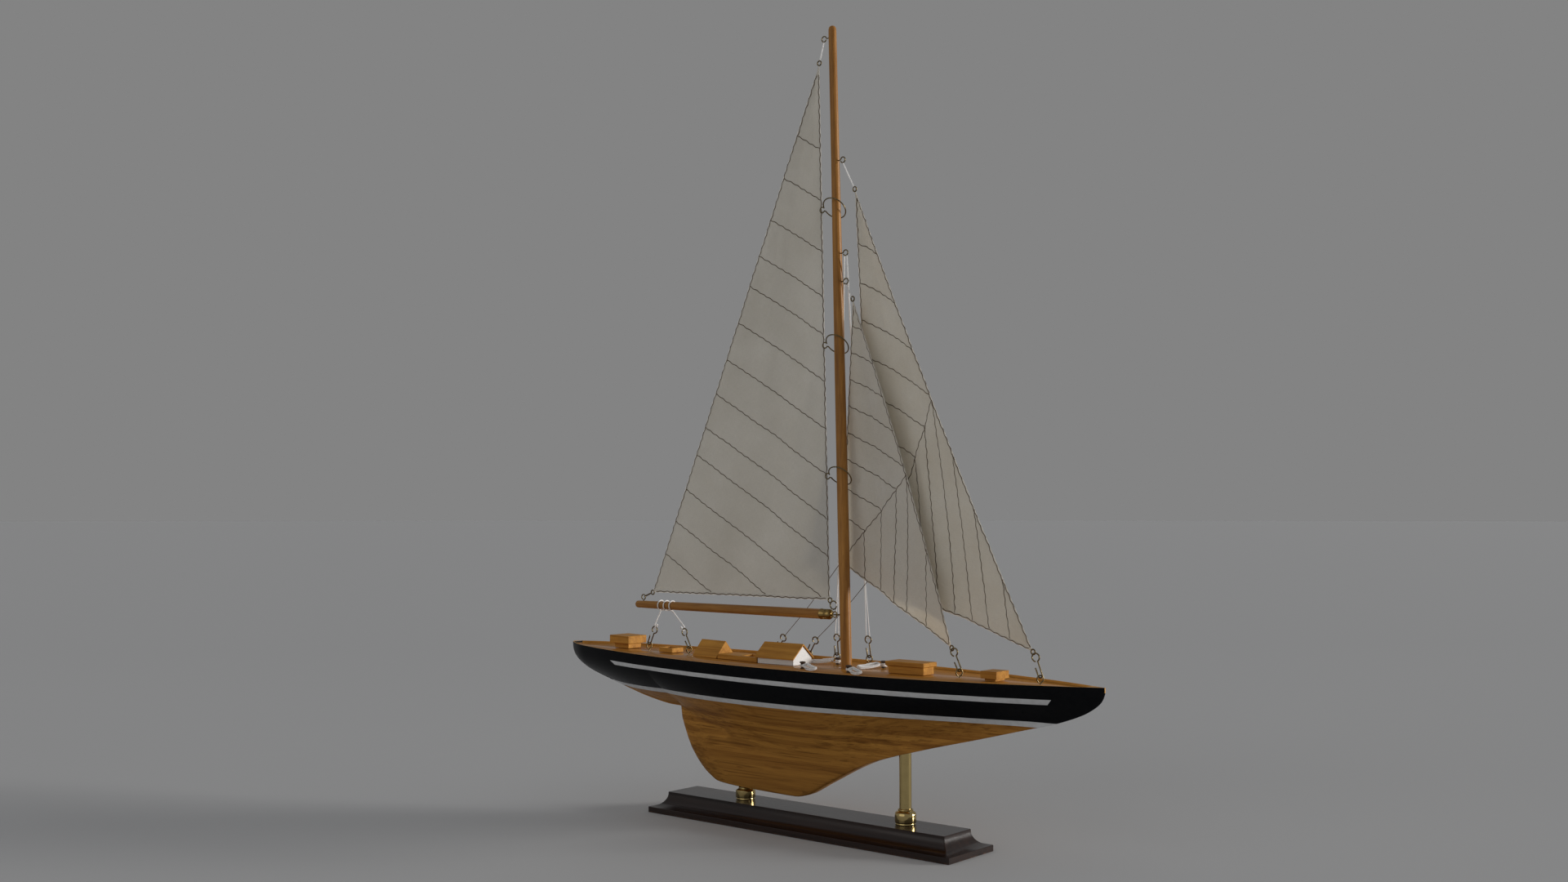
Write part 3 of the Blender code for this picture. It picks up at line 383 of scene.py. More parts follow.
def painted_hull():
    """Varnished boards with painted shade towards the keel's bottom, black above the waterline, and two
    white lines.
    """
    look = Look("hull_finish", 0.3, constants={"Specular IOR Level": 0.02})
    wood, fibres = grain(look, (0.600, 0.290, 0.062), (0.240, 0.095, 0.022), board=0.0047, fineness=0.8)
    knots = look.noise(look.place((14, 60, 60)), detail=3, distortion=1.5)
    wood = look.mix(look.step(knots, 0.56, 0.68, 0.0, 0.45), wood, (0.160, 0.062, 0.015))
    where = look.split(look.place())
    x, z = where[0], where[2]
    streak = look.noise(look.place((9, 520, 520)), detail=3, roughness=0.6, distortion=0.3)
    wood = look.mix(look.step(streak, 0.54, 0.66, 0.0, 0.60), wood, (0.130, 0.052, 0.014))
    # painted shade: the wood is drawn darker towards the keel's bottom
    wood = look.mix(look.step(z, 0.085, 0.030, 0.0, 0.38), wood, (0.150, 0.070, 0.020))
    sheer = SHEER[3]
    for term in SHEER[2::-1]:
        sheer = look.math("MULTIPLY_ADD", x, sheer, term)
    depth = look.math("SUBTRACT", sheer, z)
    hand = look.noise(look.place((45, 45, 45)), detail=2)
    depth = look.math("ADD", depth, look.step(hand, 0.3, 0.7, -0.00010, 0.00010))
    edge = 0.00008

    def over(value, limit):
        return look.step(look.math("SUBTRACT", value, limit), -edge, edge)

    top = look.math("MULTIPLY_ADD", x, SHEER_LINE[0][1], SHEER_LINE[0][0])
    bottom = look.math("MULTIPLY_ADD", x, SHEER_LINE[1][1], SHEER_LINE[1][0])
    below_top = look.math("SUBTRACT", depth, top)
    line = look.math("MULTIPLY", over(depth, top), over(bottom, depth))
    start = look.math("MULTIPLY_ADD", below_top, 1.6, SHEER_LINE_ENDS[0])
    stop = look.math("MULTIPLY_ADD", below_top, -1.0, SHEER_LINE_ENDS[1])
    line = look.math("MULTIPLY", line, look.math("MULTIPLY", over(x, start), over(stop, x)))
    high = look.math("ADD", z, look.step(hand, 0.3, 0.7, -0.00012, 0.00012))
    painted = over(high, WATERLINE[0])
    line = look.math("MAXIMUM", line, look.math("MULTIPLY", painted, over(WATERLINE[1], high)))
    worn = look.noise(look.place((220, 220, 220)), detail=4)
    black = look.mix(look.step(worn, 0.3, 0.8), (0.0065, 0.0070, 0.0080), (0.0095, 0.0098, 0.0105))
    white = look.mix(look.step(worn, 0.3, 0.8), (0.66, 0.67, 0.68), (0.56, 0.56, 0.56))
    look.colour(look.mix(painted, wood, look.mix(line, black, white)))
    varnish = look.step(fibres, 0.2, 0.8, 0.24, 0.38)
    satin = look.step(worn, 0.2, 0.8, 0.26, 0.36)
    look.roughness(look.add("ShaderNodeMix", {0: painted, 2: varnish, 3: satin}).outputs[0])
    filled = look.math("SUBTRACT", 1.0, look.math("MULTIPLY", painted, 0.7))
    look.bump(look.math("MULTIPLY", fibres, filled), 0.00007, 0.5)
    look.bump(painted, 0.00005, 0.6)
    return look.mat


def metal_look(name, bright, dull, roughness, patch=120.0, tarnish=0.5):
    look = Look(name, roughness, 1.0)
    patches = look.noise(look.place((patch, patch, patch)), detail=5, roughness=0.6)
    share = look.step(patches, 0.42, 0.68, 0.0, tarnish)
    look.colour(look.mix(share, bright, dull))
    fine = look.noise(look.place((2600, 2600, 500)), detail=2)
    look.roughness(look.math("MULTIPLY_ADD", fine, 0.06,
                             look.step(patches, 0.3, 0.75, roughness, roughness + tarnish * 0.2)))
    look.bump(fine, 0.00002, 0.35)
    return look.mat


def canvas_look(name, light, shade):
    """Plain weave drawn in the cloth's own plane, with a mottled, slightly soiled tone."""
    look = Look(name, 0.92, constants={"Sheen Weight": 0.25, "Sheen Roughness": 0.6,
                                       "Subsurface Weight": 0.85, "Subsurface Scale": 0.0014,
                                       "Subsurface Radius": (1.0, 0.97, 0.93),
                                       "Specular IOR Level": 0.2})
    cloth = look.place(source="UV")
    across, up = look.split(cloth)[:2]
    warp = look.math("SINE", look.math("MULTIPLY", across, tau / WEAVE_PITCH))
    weft = look.math("SINE", look.math("MULTIPLY", up, tau / WEAVE_PITCH))
    weave = look.math("MULTIPLY", warp, weft)
    slub = look.noise(look.place((2200, 260, 1), source="UV"), detail=2)
    slub_up = look.noise(look.place((260, 2200, 1), source="UV"), detail=2)
    slubs = look.math("ADD", slub, slub_up)
    blotch = look.noise(look.place((16, 16, 16)), detail=4, roughness=0.6)
    tone = look.mix(look.step(blotch, 0.32, 0.70), light, shade)
    tone = look.mix(look.step(slubs, 0.80, 1.25, 0.0, 0.30), tone, tuple(c * 0.78 for c in shade))
    look.colour(look.mix(look.step(weave, -1, 1, 0.0, 0.12), tone, tuple(c * 0.55 for c in shade)))
    look.bump(weave, 0.00008, 0.6)
    look.bump(slubs, 0.00012, 0.5)
    return look.mat


def cord_look(name, light, dark, inner=0.0, pitch=900.0):
    """Twisted strands: fine slanting ridges and a little soiling."""
    look = Look(name, 0.85, constants={"Sheen Weight": 0.2, "Specular IOR Level": 0.25,
                                       "Subsurface Weight": inner, "Subsurface Scale": 0.0012,
                                       "Subsurface Radius": (1.0, 1.0, 1.0)})
    strands = look.noise(look.place((pitch, pitch, pitch * 2.4), (0.6, 0.5, 0.3)), detail=2)
    soil = look.noise(look.place((90, 90, 90)), detail=3)
    tone = look.mix(look.step(soil, 0.35, 0.75), light, tuple(c * 0.86 for c in light))
    look.colour(look.mix(look.step(strands, 0.42, 0.62), dark, tone))
    look.bump(strands, 0.00012, 0.7)
    return look.mat


def white_paint():
    look = Look("cabin_white", 0.4)
    brushed = look.noise(look.place((120, 900, 900)), detail=3)
    look.colour(look.mix(look.step(brushed, 0.3, 0.7), (0.80, 0.80, 0.79), (0.70, 0.70, 0.68)))
    look.roughness(look.step(brushed, 0.3, 0.7, 0.34, 0.5))
    look.bump(brushed, 0.00004, 0.5)
    return look.mat


def stained_plinth():
    look = Look("plinth_finish", 0.22, constants={"Specular IOR Level": 0.4, "Coat Weight": 0.15,
                                                  "Coat Roughness": 0.06})
    wood, fibres = grain(look, (0.030, 0.013, 0.008), (0.008, 0.004, 0.003), fineness=0.8)
    z = look.split(look.place())[2]
    rubbed = look.noise(look.place((300, 300, 300)), detail=4)
    low_edge = look.math("MULTIPLY", look.step(z, 0.0016, 0.0004), look.step(rubbed, 0.45, 0.62))
    look.colour(look.mix(look.math("MULTIPLY", low_edge, 0.7), wood, (0.10, 0.045, 0.022)))
    look.roughness(look.step(fibres, 0.2, 0.8, 0.16, 0.30))
    look.bump(fibres, 0.00008, 0.6)
    return look.mat


# Mesh tools ----------------------------------------------------------------------------
def finish_mesh(name, bm, smooth=radians(38)):
    bmesh.ops.recalc_face_normals(bm, faces=bm.faces)
    mesh = bpy.data.meshes.new(name)
    bm.to_mesh(mesh)
    bm.free()
    mesh.shade_smooth()
    mesh.set_sharp_from_angle(angle=smooth)
    return mesh


def piece(name, mesh, mat, body="root", replaces=(), joined=None):
    """Add a piece; joined names the span over which a cord turns from the hull to a moving body."""
    obj = bpy.data.objects.new(name, mesh)
    bpy.context.collection.objects.link(obj)
    mesh.materials.append(mat)
    if joined:
        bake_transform(obj)
    else:
        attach(obj, body)
    if replaces:
        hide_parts(*replaces)
    return obj


def skin_rings(bm, rings, closed=False):
    """Faces between rings of points, with flat ends unless the last ring meets the first."""
    rows = [[bm.verts.new(p) for p in ring] for ring in rings]
    pairs = list(zip(rows, rows[1:]))
    if closed:
        pairs.append((rows[-1], rows[0]))
    for row, following in pairs:
        for i in range(len(row)):
            j = (i + 1) % len(row)
            bm.faces.new((row[i], row[j], following[j], following[i]))
    if not closed:
        bm.faces.new(list(reversed(rows[0])))
        bm.faces.new(rows[-1])


def turned(name, profile, segments, place, mat, body="root", replaces=(), closed=False):
    """Add a piece turned from a profile of (radius, height) points; a radius of 0 closes an end."""
    bm = bmesh.new()
    rows = []
    for r, z in profile:
        if r == 0.0:
            rows.append([bm.verts.new(place @ Vector((0, 0, z)))])
            continue
        angles = [tau * i / segments for i in range(segments)]
        rows.append([bm.verts.new(place @ Vector((r * cos(a), r * sin(a), z))) for a in angles])
    pairs = list(zip(rows, rows[1:]))
    if closed:
        pairs.append((rows[-1], rows[0]))
    for a, b in pairs:
        for i in range(segments):
            j = (i + 1) % segments
            if len(a) == 1:
                bm.faces.new((a[0], b[i], b[j]))
            elif len(b) == 1:
                bm.faces.new((a[i], b[0], a[j]))
            else:
                bm.faces.new((a[i], b[i], b[j], a[j]))
    return piece(name, finish_mesh(name, bm), mat, body, replaces)


def sweep(bm, points, radius, sides=10, closed=False):
    """Sweep a round section along a run of points without twisting it; open ends are rounded."""
    points = [Vector(p) for p in points]
    count = len(points)
    ways = []
    for i in range(count):
        before = points[(i - 1) % count] if closed or i else points[0]
        after = points[(i + 1) % count] if closed or i < count - 1 else points[-1]
        ways.append((after - before).normalized())
    side = ways[0].orthogonal().normalized()
    rings = []
    for point, way in zip(points, ways):
        side = (side - way * side.dot(way)).normalized()
        rings.append((point, way, side, 1.0))
    if not closed:
        start, end = rings[0], rings[-1]
        for share, grow in ((0.55, 0.84), (0.9, 0.44)):
            rings.insert(0, (start[0] - start[1] * radius * share, start[1], start[2], grow))
            rings.append((end[0] + end[1] * radius * share, end[1], end[2], grow))
    loops = []
    for point, way, side, grow in rings:
        other = way.cross(side)
        loops.append([point + (side * cos(tau * k / sides) + other * sin(tau * k / sides)) * radius * grow
                      for k in range(sides)])
    skin_rings(bm, loops, closed)


def wire(name, points, radius, mat, body="root", replaces=(), joined=None, sides=10, closed=False):
    """Add a piece of wire or cord along a run of points."""
    bm = bmesh.new()
    sweep(bm, points, radius, sides, closed)
    return piece(name, finish_mesh(name, bm, radians(60)), mat, body, replaces, joined)


def ring_points(centre, x_axis, y_axis, radius, count=28):
    centre, x_axis, y_axis = Vector(centre), Vector(x_axis).normalized(), Vector(y_axis).normalized()
    return [centre + (x_axis * cos(tau * i / count) + y_axis * sin(tau * i / count)) * radius
            for i in range(count)]


def circle(centre, radius, start, sweep_angle, count):
    steps = [start + sweep_angle * i / (count - 1) for i in range(count)]
    return [Vector((centre[0] + radius * cos(a), 0.0, centre[1] + radius * sin(a))) for a in steps]


def frame_of(origin, x_axis, y_axis):
    x_axis = Vector(x_axis).normalized()
    z_axis = x_axis.cross(Vector(y_axis)).normalized()
    turn = Matrix((x_axis, z_axis.cross(x_axis), z_axis)).transposed().to_4x4()
    return Matrix.Translation(origin) @ turn


def smooth_run(route, fine=8):
    """A smooth curve through a route's points."""
    route = [Vector(p) for p in route]
    ends = [2 * route[0] - route[1]] + route + [2 * route[-1] - route[-2]]
    points = []
    for a, b, c, d in zip(ends, ends[1:], ends[2:], ends[3:]):
        for i in range(fine):
            t = i / fine
            points.append(0.5 * (2 * b + (c - a) * t + (2 * a - 5 * b + 4 * c - d) * t * t
                                 + (3 * b - a - 3 * c + d) * t ** 3))
    points.append(route[-1])
    return points


def interpolate(table, x):
    """Smooth, non-overshooting curve through a table of (x, value)."""
    if x <= table[0][0]:
        return table[0][1]
    if x >= table[-1][0]:
        return table[-1][1]
    i = max(k for k in range(len(table) - 1) if table[k][0] <= x)

    def chord(k):
        return (table[k + 1][1] - table[k][1]) / (table[k + 1][0] - table[k][0])

    def slope(k):
        if k in (0, len(table) - 1):
            return chord(min(k, len(table) - 2))
        before, after = chord(k - 1), chord(k)
        if before * after <= 0:
            return 0.0
        return 2 * before * after / (before + after)

    width = table[i + 1][0] - table[i][0]
    t = (x - table[i][0]) / width
    return ((1 + 2 * t) * (1 - t) ** 2 * table[i][1] + t * (1 - t) ** 2 * width * slope(i)
            + t * t * (3 - 2 * t) * table[i + 1][1] + t * t * (t - 1) * width * slope(i + 1))


def clamp(value):
    return min(1.0, max(0.0, value))


# Hull and deck -------------------------------------------------------------------------
def half_beam(x):
    s = x / LENGTH + 0.5
    swell = sum(c * s ** i for i, c in enumerate(BEAM_CURVE))
    beam = STERN_HALF * (1 - s) + s * (1 - s) * swell
    rounding = clamp((STERN_ROUND - LENGTH / 2 - x) / STERN_ROUND)
    return max(beam * sqrt(1 - rounding ** 2), STEM_HALF)


def sheer_z(x):
    return sum(c * x ** i for i, c in enumerate(SHEER))


def deck_z(x):
    return DECK_Z + DECK_RISE * max(0.0, DECK_KNEE_X - x)


def keel_edge_x(z):
    edge = [(pz, px) for px, pz in reversed(PROFILE[9:16])]
    return interpolate(edge, max(z, 0.0345))


def keel_half(x, z, bottom):
    fore = clamp((KEEL_FINE[0] - x) / KEEL_FINE[1]) ** 0.7
    aft = sqrt(clamp((x - keel_edge_x(z)) / KEEL_TAPER))
    low = 1.0
    if x > 0.005:
        low = 0.8 + 0.2 * sqrt(clamp((z - bottom) / 0.02))
    return max(STEM_HALF, KEEL_HALF * fore * aft * low)


def half_section(x, steps=22):
    """Port half of a section from the rail down to the middle of the keel."""
    top = sheer_z(x)
    beam = half_beam(x)
    bottom = interpolate(PROFILE, x)
    body = bottom
    if BODY_BOTTOM[0][0] < x < BODY_BOTTOM[-1][0]:
        body = interpolate(BODY_BOTTOM, x)
    bottom = min(bottom, body - 0.0008)
    full = FULLNESS[0] + FULLNESS[1] * x * x
    hollow = HOLLOW[0] + HOLLOW[1] * x
    points = []
    for i in range(steps + 1):
        u = 1 - (1 - i / steps) ** 1.15
        z = top + (body - top) * u
        fine = min(keel_half(x, z, bottom) * u * u, beam)
        points.append((fine + (beam - fine) * (1 - u ** full) ** hollow, z))
    drop = body - bottom
    reach = bottom + min(0.002, 0.3 * drop)
    for i in range(1, 9):
        z = body + (reach - body) * i / 8
        points.append((min(keel_half(x, z, bottom), beam), z))
    points.append((0.93 * min(keel_half(x, bottom, bottom), beam), bottom + 0.35 * (reach - bottom)))
    points.append((0.70 * min(keel_half(x, bottom, bottom), beam), bottom))
    return points


def half_breadth(x, z):
    side = half_section(x)
    for (wide, high), (narrow, low) in zip(side, side[1:]):
        if low <= z <= high:
            return narrow + (wide - narrow) * (z - low) / (high - low)
    return side[0][0]


def recess_half(x):
    return half_breadth(x, deck_z(x) - DECK_THICK) - RIM + GAP


def stations():
    """Places along the hull, closer together at the ends, with every profile point among them."""
    places = {place[0] for place in PROFILE} | {LENGTH / 2 * sin(pi * i / 150 - pi / 2) for i in range(151)}
    kept = [-LENGTH / 2]
    for x in sorted(places):
        if x - kept[-1] > 0.0006 and LENGTH / 2 - x > 0.0003:
            kept.append(x)
    return kept + [LENGTH / 2]


def hull_mesh():
    """Outer skin, rounded rail, and the recess that the deck lies in."""
    aft, fore = DECK_ENDS[0] - GAP, DECK_ENDS[1] + GAP
    rings = []
    for x in sorted(set(stations()) | {aft - 0.00002, aft, fore, fore + 0.00002}):
        side = half_section(x)
        (beam, top), rest = side[0], side[1:]
        soften = min(0.0003, beam * 0.3)
        inner = max(min(recess_half(x), beam - soften - 0.0002), beam * 0.3)
        floor_z = deck_z(x) - DECK_THICK - GAP if aft <= x <= fore else top
        half = [(inner, floor_z), (inner, top), (beam - soften, top), (beam, top - soften)] + rest
        port = [(x, y, z) for y, z in half]
        starboard = [(x, -y, z) for y, z in reversed(half)]
        rings.append(port + starboard)
    bm = bmesh.new()
    skin_rings(bm, rings)
    bmesh.ops.remove_doubles(bm, verts=bm.verts, dist=0.000001)
    return finish_mesh("hull", bm, radians(40))


def paint_inside(mesh):
    """The rail's top and inner faces keep bare varnished wood, the second material, which is drawn lighter
    as painted light.
    """
    for face in mesh.polygons:
        x, y, z = face.center
        upward = face.normal.z > 0.8 and z > sheer_z(x) - 0.001
        inward = face.normal.y * y < 0 and z > deck_z(x) - DECK_THICK - 0.001
        bare = inward and abs(y) < half_beam(x) - 0.0006
        level = abs(face.normal.z) > 0.9 and z > 0.138
        if upward or bare or level:
            face.material_index = 1


def deck_mesh():
    rings = []
    inner = [x for x in stations() if DECK_ENDS[0] + 0.001 < x < DECK_ENDS[1] - 0.001]
    for x in [DECK_ENDS[0]] + inner + [DECK_ENDS[1]]:
        top, low = deck_z(x), deck_z(x) - DECK_THICK
        wide = half_breadth(x, low) - RIM
        soft = min(0.0002, wide * 0.3)
        rings.append([(x, wide, low), (x, wide, top - soft), (x, wide - soft, top), (x, soft - wide, top),
                      (x, -wide, top - soft), (x, -wide, low)])
    bm = bmesh.new()
    skin_rings(bm, rings)
    return finish_mesh("deck", bm, radians(50))


# Stand ---------------------------------------------------------------------------------
def plinth_mesh():
    """A board with a hollow moulding worked round its upper edge."""
    length, width, height = PLINTH_SIZE
    levels = [(0.0003, 0.0), (0.0, 0.0003), (0.0, PLINTH_FILLET - 0.0003), (0.0003, PLINTH_FILLET)]
    steps = 20
    for i in range(steps + 1):
        a = radians(90) * i / steps
        levels.append((0.0006 + (PLINTH_COVE - 0.0006) * sin(a),
                       PLINTH_FILLET + (height - 0.0010 - PLINTH_FILLET) * (1 - cos(a))))
    levels += [(PLINTH_COVE, height - 0.0003), (PLINTH_COVE + 0.0003, height)]
    rings = []
    for inset, z in levels:
        x, y, soft = length / 2 - inset, width / 2 - inset, 0.0006
        corners = [(-x, -y, False), (x, -y, True), (x, y, False), (-x, y, True)]
        ring = []
        for cx, cy, along_x_first in corners:
            cut = [(cx - soft * (1 if cx > 0 else -1), cy), (cx, cy - soft * (1 if cy > 0 else -1))]
            if not along_x_first:
                cut.reverse()
            ring += [(PLINTH_X + px, py, z) for px, py in cut]
        rings.append(ring)
    bm = bmesh.new()
    skin_rings(bm, rings)
    return finish_mesh("base_plinth", bm, radians(25))


def stand(plinth_mat, brass):
    piece("plinth", plinth_mesh(), plinth_mat, replaces=["base_plinth"])
    for name, x in POST_X.items():
        place = Matrix.Translation((x, 0, 0))
        top = POST_TOP_Z[name]
        rod = [(0.0, top), (POST_R, top), (POST_R, POST_FOOT_Z), (0.0, POST_FOOT_Z)]
        turned(name + "_rod", rod, 56, place, brass, replaces=[name + "_post"])
        bore, top = POST_R + GAP, FERRULE_H[name]
        collar = [(bore, top), (0.0060, top), (0.0064, top - 0.0003), (0.0066, top - 0.0008),
                  (0.0064, top - 0.0014), (0.0068, top - 0.0018), (0.0078, top - 0.0022),
                  (0.0086, top - 0.0029), (0.0090, top - 0.0038), (0.0091, 0.0074), (0.0091, 0.0022),
                  (0.0089, 0.0016), (0.0084, 0.0012), (0.0084, 0.0008), (0.0087, 0.0004), (0.0086, 0.0),
                  (bore, 0.0)]
        place = Matrix.Translation((x, 0, PLINTH_SIZE[2] + GAP))
        turned(name + "_collar", collar, 56, place, brass,
               replaces=[name + "_post_ferrule"], closed=True)


# Spars ---------------------------------------------------------------------------------
def mast_x(z):
    return MAST_FOOT[0] - MAST_RAKE * (z - MAST_FOOT[1])


def spars(wood, brass, boom_wood):
    length = (MAST_TOP_Z - MAST_FOOT[1]) * sqrt(1 + MAST_RAKE ** 2)
    place = Matrix.Translation((MAST_FOOT[0], 0, MAST_FOOT[1])) @ Matrix.Rotation(-atan(MAST_RAKE), 4, "Y")
    profile = [(0.0, length)] + [(r, length - down) for down, r in MAST_TAPER]
    profile += [(MAST_FOOT_R, 0.0), (0.0, 0.0)]
    turned("mast_spar", profile, 40, place, wood, replaces=["mast"])

    axis = Matrix.Translation((0, 0, BOOM_Z)) @ Matrix.Rotation(radians(90), 4, "Y")
    aft, fore = BOOM_CAP_X
    shoulder = aft - GAP
    spigot_r, spigot = BOOM_SPIGOT
    profile = [(0.0, aft + spigot), (spigot_r, aft + spigot), (spigot_r, shoulder),
               (BOOM_FORE_R, shoulder), *BOOM_TAPER]
    profile += [(0.00345, BOOM_AFT_X + 0.0020), (0.0032, BOOM_AFT_X + 0.0007), (0.0026, BOOM_AFT_X),
                (0.0, BOOM_AFT_X)]
    turned("boom_spar", profile, 40, axis, boom_wood, "boom_rig", ["boom"])
    cap = [(0.0, fore + 0.0004), (0.0018, fore + 0.0002), (0.0031, fore - 0.0004), (0.0041, fore - 0.0012),
           (BOOM_CAP_R, fore - 0.0024), (BOOM_CAP_R, fore - 0.0048), (BOOM_CAP_R - 0.0003, fore - 0.0051),
           (BOOM_CAP_R - 0.0003, fore - 0.0056), (BOOM_CAP_R, fore - 0.0059), (BOOM_CAP_R, aft + 0.0012),
           (BOOM_CAP_R + 0.0002, aft + 0.0009), (BOOM_CAP_R + 0.0002, aft + 0.0002), (BOOM_CAP_R, aft),
           (0.0038, aft), (0.0038, aft + 0.0092), (0.0, aft + 0.0092)]
    turned("boom_cap", cap, 48, axis, brass, "boom_rig", ["boom_ferrule"])
    ring = ring_points((GOOSENECK.x - SPAR_EYE_R, 0, BOOM_Z), (1, 0, 0), (0, 0, 1), SPAR_EYE_R)
    wire("boom_cap_ring", ring, SPAR_EYE_WIRE, brass, "boom_rig", closed=True)


# Wire fittings -------------------------------------------------------------------------
def eye_points(ring_r, stem):
    return [Vector((0, 0, -stem)), Vector((0, 0, -ring_r - 0.0010))] + circle(
        (0.0, 0.0), ring_r, radians(-76), radians(318), 30)


def hook_points():
    tip = [Vector((-HOOK_BEND_R - 0.0007, 0, 0.0062)), Vector((-HOOK_BEND_R - 0.0002, 0, 0.0030)),
           Vector((-HOOK_BEND_R, 0, 0.0010))]
    bend = circle((0.0, 0.0), HOOK_BEND_R, radians(180), radians(180), 14)
    return tip + bend + circle((0.0, HOOK_RING_UP), HOOK_RING_R, radians(-74), radians(318), 32)


def eye_centre(name):
    x, y = FITTINGS[name][:2]
    return Vector((x, y, deck_z(x) + EYE_RISE))


def hook_frame(name):
    lean, side = FITTINGS[name][2:]
    return (Matrix.Translation(eye_centre(name)) @ Matrix.Rotation(side, 4, "X")
            @ Matrix.Translation((0, 0, EYE_R)) @ Matrix.Rotation(lean, 4, "Y"))


def hook_ring(name):
    return hook_frame(name) @ Vector((0, 0, HOOK_RING_UP))


def wire_fittings(dark):
    for name, (x, z, side) in SPAR_EYES.items():
        across = (0, 0, 1) if name != "gooseneck_eye" else (0, 1, 0)
        place = frame_of((x, 0, z), across, Vector((side, 0, 0)).cross(Vector(across)))
        run = [place @ p for p in eye_points(SPAR_EYE_R, abs(mast_x(z) + side * 0.0017 - x))]
        wire(name + "_wire", run, SPAR_EYE_WIRE, dark, replaces=[name])
    place = frame_of(BOOM_EYE, (1, 0, 0), (0, 1, 0))
    run = [place @ p for p in eye_points(SPAR_EYE_R, 0.0062)]
    wire("boom_aft_eye_wire", run, SPAR_EYE_WIRE, dark, "boom_rig", ["boom_aft_eye"])
    for name in FITTINGS:
        turn = EYE_TURN / 2 if name in MOVING_HOOKS else EYE_TURN
        place = frame_of(eye_centre(name), (sin(turn), cos(turn), 0), (-cos(turn), sin(turn), 0))
        run = [place @ p for p in eye_points(EYE_R, EYE_STEM)]
        wire(name + "_eye_wire", run, EYE_WIRE, dark, replaces=[name + "_eye"])
        run = [hook_frame(name) @ p for p in hook_points()]
        body = name + "_hook" if name in MOVING_HOOKS else "root"
        wire(name + "_hook_wire", run, EYE_WIRE, dark, body, [name + "_hook"])


def luff_x(z):
    head, tack = MAINSAIL[0], MAINSAIL[1]
    return head[0] + (tack[0] - head[0]) * (head[2] - z) / (head[2] - tack[2])


def mast_hoops(dark):
    """One wire each: a small open eye on the luff, then a large slanting ring round the mast."""
    for name, z in HOOP_HEIGHTS.items():
        eye = luff_x(z)
        points = circle((eye, z), HOOP_EYE_R, radians(60), radians(275), 22)
        middle = Vector((eye + HOOP_EYE_R + 0.0004 + HOOP_R, 0, z))
        down = Vector((0, sin(HOOP_SLANT), -cos(HOOP_SLANT)))
        for i in range(49):
            a = radians(170) - radians(340) * i / 48
            points.append(middle + HOOP_R * (Vector((1, 0, 0)) * -cos(pi - a) + down * sin(a)))
        wire("hoop_" + name, points, EYE_WIRE * 0.95, dark, "boom_rig",
             ["mast_hoop_" + name])


